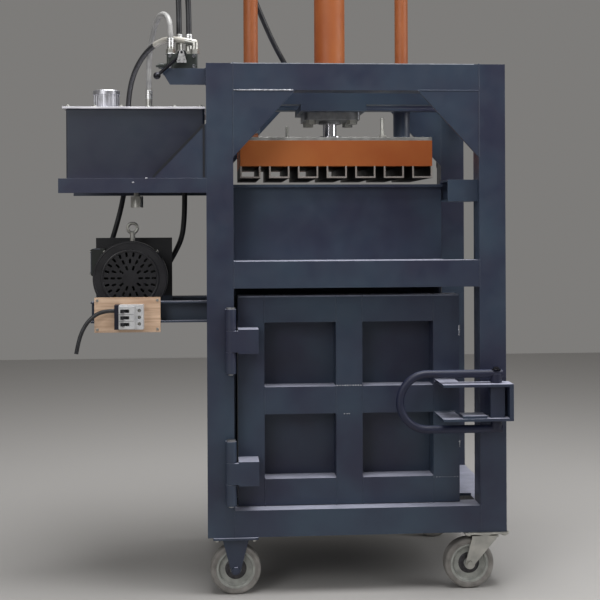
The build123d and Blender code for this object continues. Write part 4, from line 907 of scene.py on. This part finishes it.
# %% Crimped sleeves
FERRULE, VALVE_TOP, LONG_SLEEVE = 10.5, 1622.0, 20.0
RING_PROUD, RING_HEIGHT, RING_PITCH = 1.1, 3.4, 5.5
COLLAR, COLLAR_HEIGHT = 17.0, 2.5
# For each sleeve: its x and y, and the height of its lower and upper end.
sleeve_ends = ((-181, 260, 1456, 1531), (-107, 95, VALVE_TOP, 1672), (-52, 138, VALVE_TOP, 1690),
               (-82, 138, VALVE_TOP, 1690), (-71, 318, 1213, 1227))
sleeves = bmesh.new()
for x, y, low, high in sleeve_ends:
    is_long = high - low > LONG_SLEEVE
    for ring in range(5 if is_long else 2):
        disc(sleeves, at(x, y, high - 5 - ring * RING_PITCH), UP, FERRULE + RING_PROUD, RING_HEIGHT, 20)
    if is_long:
        disc(sleeves, at(x, y, low), UP, COLLAR, COLLAR_HEIGHT, 24)
new_piece("crimped_sleeves", sleeves, "frame", "zinc_plate", bright_zinc)
print("sleeves", len(sleeve_ends))

# %% [markdown]
# ## The pale guard
# The pressure hose has a pale sleeve where it leaves the valve. It has to follow the hose exactly, so its
# line is read back from the hose's own spline, as Blender draws it without its thickness, and cut to the
# guard's length.

# %% Pale guard on the pressure hose
GUARD_LENGTH, GUARD_WALL = 125.0, 1.0


def reach_of(cord_piece):
    """The points along a cord's own spline, in order from its exit."""
    plain = cord_piece.data.copy()
    plain.bevel_depth = 0
    carrier = bpy.data.objects.new("plain", plain)
    mesh = bpy.data.meshes.new_from_object(carrier)
    points = [vert.co.copy() for vert in mesh.vertices]
    bpy.data.objects.remove(carrier)
    bpy.data.meshes.remove(mesh)
    bpy.data.curves.remove(plain)
    return points


def guard_over(name, cord_piece, length, radius, body, finish):
    """A tube over the first stretch of a cord, with its length and radius in millimetres."""
    points, gone, kept = reach_of(cord_piece), 0.0, []
    for before, after in zip(points, points[1:]):
        if gone <= length * MM:
            kept.append(before)
        gone += (after - before).length
    curve = bpy.data.curves.new(name, "CURVE")
    curve.dimensions = "3D"
    line = curve.splines.new("POLY")
    line.points.add(len(kept) - 1)
    for knot, point in zip(line.points, kept):
        knot.co = (*point, 1)
        knot.radius = radius * MM
    curve.bevel_depth = 1.0
    curve.bevel_resolution = SMOOTH_ROUND
    curve.use_fill_caps = True
    piece = bpy.data.objects.new(name, curve)
    scene.collection.objects.link(piece)
    finish_piece(piece, finish)
    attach(piece, body)


# The sleeve is pale and has a soft shine.
pale_sleeve = rubber("pale_hose_sleeve", "#a7a49c", "#c2bfb6", 0.4)
guard_over("hose_guard", cords["pressure_hose"], GUARD_LENGTH, HOSE / 2 + GUARD_WALL, "frame",
           pale_sleeve)
print("guard", GUARD_LENGTH, "mm long")

# %% [markdown]
# ## Breaker, board and latch
# The breaker is three poles side by side, so two fine seams run across its nose, and a clamp screw
# sits in each terminal. The board has a screw in each corner. The latch handle turns on a pin whose
# nut rides with it.

# %% Seams, screws and the latch's nut


def strip(shape, start, end, width, depth):
    """A thin flat bar between two points in millimetres, its depth along Y."""
    first, last = at(*start), at(*end)
    across = Vector((0, 1, 0)).cross(last - first).normalized()
    turn = Matrix((across, Vector((0, 1, 0)), (last - first).normalized())).transposed().to_4x4()
    size = Matrix.Diagonal((width * MM, depth * MM, (last - first).length, 1))
    bmesh.ops.create_cube(shape, size=1.0, matrix=Matrix.Translation((first + last) / 2) @ turn @ size)


POLE, NOSE_START, NOSE_END = 19.5, 15.0, 27.0
SEAM_WIDTH, SEAM_DEPTH = 0.8, 0.5
TERMINAL_INSET, TERMINAL_FACE, TERMINAL_SCREW = 12.0, -8.0, 4.2
BOARD_MARGIN, BOARD_SCREW, BOARD_SCREW_HEIGHT = 9.0, 4.0, 1.6
LATCH_NUT, LATCH_NUT_ACROSS = (858, -46, 670), 15.0
breaker_low, breaker_high = span("circuit_breaker")
board_low, board_high = span("breaker_board")
breaker_middle = (breaker_low.z + breaker_high.z) / 2
nose_left, nose_right = breaker_low.x + NOSE_START, breaker_high.x - NOSE_END
seams = bmesh.new()
for z in (breaker_middle - POLE / 2, breaker_middle + POLE / 2):
    strip(seams, (nose_left, breaker_low.y, z), (nose_right, breaker_low.y, z), SEAM_WIDTH, SEAM_DEPTH)
new_piece("breaker_seams", seams, "frame", "black_plastic")

small_screws = bmesh.new()
for pole in (-1, 0, 1):
    spot = at(breaker_high.x - TERMINAL_INSET, TERMINAL_FACE, breaker_middle + pole * POLE)
    cap_screw(small_screws, spot, FRONT, TERMINAL_SCREW)
for x in (board_low.x + BOARD_MARGIN, board_high.x - BOARD_MARGIN):
    for z in (board_low.z + BOARD_MARGIN, board_high.z - BOARD_MARGIN):
        disc(small_screws, at(x, board_low.y, z), FRONT, BOARD_SCREW, BOARD_SCREW_HEIGHT, 16)
new_piece("small_screws", small_screws, "frame", "zinc_plate")

latch_nut = bmesh.new()
hex_head(latch_nut, at(*LATCH_NUT), UP, LATCH_NUT_ACROSS)
new_piece("latch_nut", latch_nut, "latch_handle", "zinc_plate", black_oxide)
print("pole pitch", POLE, "mm")

# %% [markdown]
# ## Pale strips and painted shadows
# Pale strips along the top beam's upper edge and the door's upper edge are painted highlights, and two more
# pale strips run along the terminal box's edges. Dark strips along two edges of the brace beside the tank are
# painted shadow. A strip under 2 mm thick is enough for each, let a little into the surface.

# %% Worn strips and seam filler
# Each kind of strip has a width and a depth.
TOP_HIGHLIGHT, DOOR_HIGHLIGHT, BOX_STRIP = (2.6, 1.6), (4.5, 1.4), (1.8, 1.0)
SLOPE_SHADOW, UPRIGHT_SHADOW = (7.0, 1.6), (6.0, 1.6)
top_edge, door_edge, box_edge, shadow_strips = bmesh.new(), bmesh.new(), bmesh.new(), bmesh.new()
# Painted highlight along the top beam's upper front edge.
strip_y, strip_top = frame_y0 + 0.3, frame_z1 - 0.6
strip(top_edge, (74, strip_y, strip_top), (806, strip_y, strip_top), *TOP_HIGHLIGHT)
# Painted highlight along the door's upper edge.
strip_y, strip_top = door_low.y + 0.3, door_high.z - 1.5
strip(door_edge, (door_low.x + 2, strip_y, strip_top), (door_high.x - 2, strip_y, strip_top), *DOOR_HIGHLIGHT)
# Pale strips along the terminal box's left and upper edges.
strip_x, strip_y, strip_top = box_low.x + 0.4, box_low.y + 0.2, box_high.z - 0.4
strip(box_edge, (strip_x, strip_y, box_low.z + 8), (strip_x, strip_y, box_high.z - 8), *BOX_STRIP)
strip(box_edge, (box_low.x + 8, strip_y, strip_top), (box_high.x - 14, strip_y, strip_top), *BOX_STRIP)
# Painted shadow: dark strips along the brace's sloping and upright edges.
strip(shadow_strips, (-157, 1.9, 1247), (-6, 1.9, 1403), *SLOPE_SHADOW)
strip(shadow_strips, (-7, 1.4, 1246), (-7, 1.4, 1398), *UPRIGHT_SHADOW)
# The top beam's painted highlight is pale and dull, and the strips on the door and the terminal box are
# greyer. The painted shadow is matt and nearly black.
top_highlight_paint = moulded("painted_highlight_edge", "#a3a8b2", "#7f8592", 0.55)
greyer_strip_paint = moulded("greyer_strip_paint_edge", "#6f7586", "#5a6070", 0.55)
brace_shadow_paint = rubber("brace_painted_shadow", "#060914", "#0b1020", 0.7)
new_piece("top_beam_painted_highlight", top_edge, "frame", "frame_paint", top_highlight_paint)
new_piece("door_top_painted_highlight", door_edge, "door", "frame_paint", greyer_strip_paint)
new_piece("terminal_box_pale_strips", box_edge, "frame", "motor_iron", greyer_strip_paint)
new_piece("brace_painted_shadow_strips", shadow_strips, "frame", "frame_paint", brace_shadow_paint)
print("worn edges", 3)

# %% [markdown]
# ## Threads on the studs
# A thread is far too fine to matter from a few metres, but from close up a smooth stud looks wrong.
# Thin rings at the real pitch read as a thread and cost very little. They ride with the platen.

# %% Stud threads
PITCH, TURNS, THREAD, CREST, THREAD_START = 1.5, 30, 5.25, 0.8, 1389.0
STUDS = ((554, 195), (274, 530))
threads = bmesh.new()
for x, y in STUDS:
    for turn in range(TURNS):
        disc(threads, at(x, y, THREAD_START + turn * PITCH), UP, THREAD, CREST, 14)
new_piece("stud_threads", threads, "platen", "zinc_plate")
print("thread on each stud", TURNS * PITCH, "mm")

# %% [markdown]
# ## The studio
# A wide soft lamp above gives the bright lines along ledges and the tank's lid. A second lamp at the front
# left keeps the door's recesses readable, a third on the right lights the sides of the posts, and a pale
# world fills the rest. The floor is a plain pale plane.

# %% Floor, lamps and world
FLOOR_REACH = 6.0
WORLD_STRENGTH = 0.45

floor_shape = bmesh.new()
bmesh.ops.create_grid(floor_shape, x_segments=1, y_segments=1, size=FLOOR_REACH)
floor_mesh = bpy.data.meshes.new("floor")
floor_shape.to_mesh(floor_mesh)
floor_shape.free()
floor = bpy.data.objects.new("floor", floor_mesh)
scene.collection.objects.link(floor)
finish_piece(floor, new_material("pale_floor", "#a9a7a5", 0.7)[0])


def lamp(name, where, target, size, power):
    """A square soft white lamp at one point that looks at another."""
    light = bpy.data.lights.new(name, "AREA")
    light.shape = "SQUARE"
    light.size = size
    light.energy = power
    piece = bpy.data.objects.new(name, light)
    piece.location = where
    piece.rotation_mode = "QUATERNION"
    piece.rotation_quaternion = (Vector(target) - Vector(where)).to_track_quat("-Z", "Y")
    scene.collection.objects.link(piece)


lamp("ceiling_lamp", (0.3, -0.6, 4.2), (0.0, 0.2, 0.0), size=2.4, power=190)
lamp("front_lamp", (-2.2, -3.6, 2.6), (0.0, 0.0, 1.0), size=1.8, power=46)
lamp("right_lamp", (3.2, -1.2, 2.0), (0.0, 0.0, 1.0), size=1.6, power=38)
world = bpy.data.worlds.new("studio")
world.use_nodes = True
background = world.node_tree.nodes["Background"]
background.inputs["Color"].default_value = linear("#b3b1ae")
background.inputs["Strength"].default_value = WORLD_STRENGTH
scene.world = world
scene.view_settings.view_transform = "Standard"
print("lamps", len(bpy.data.lights))
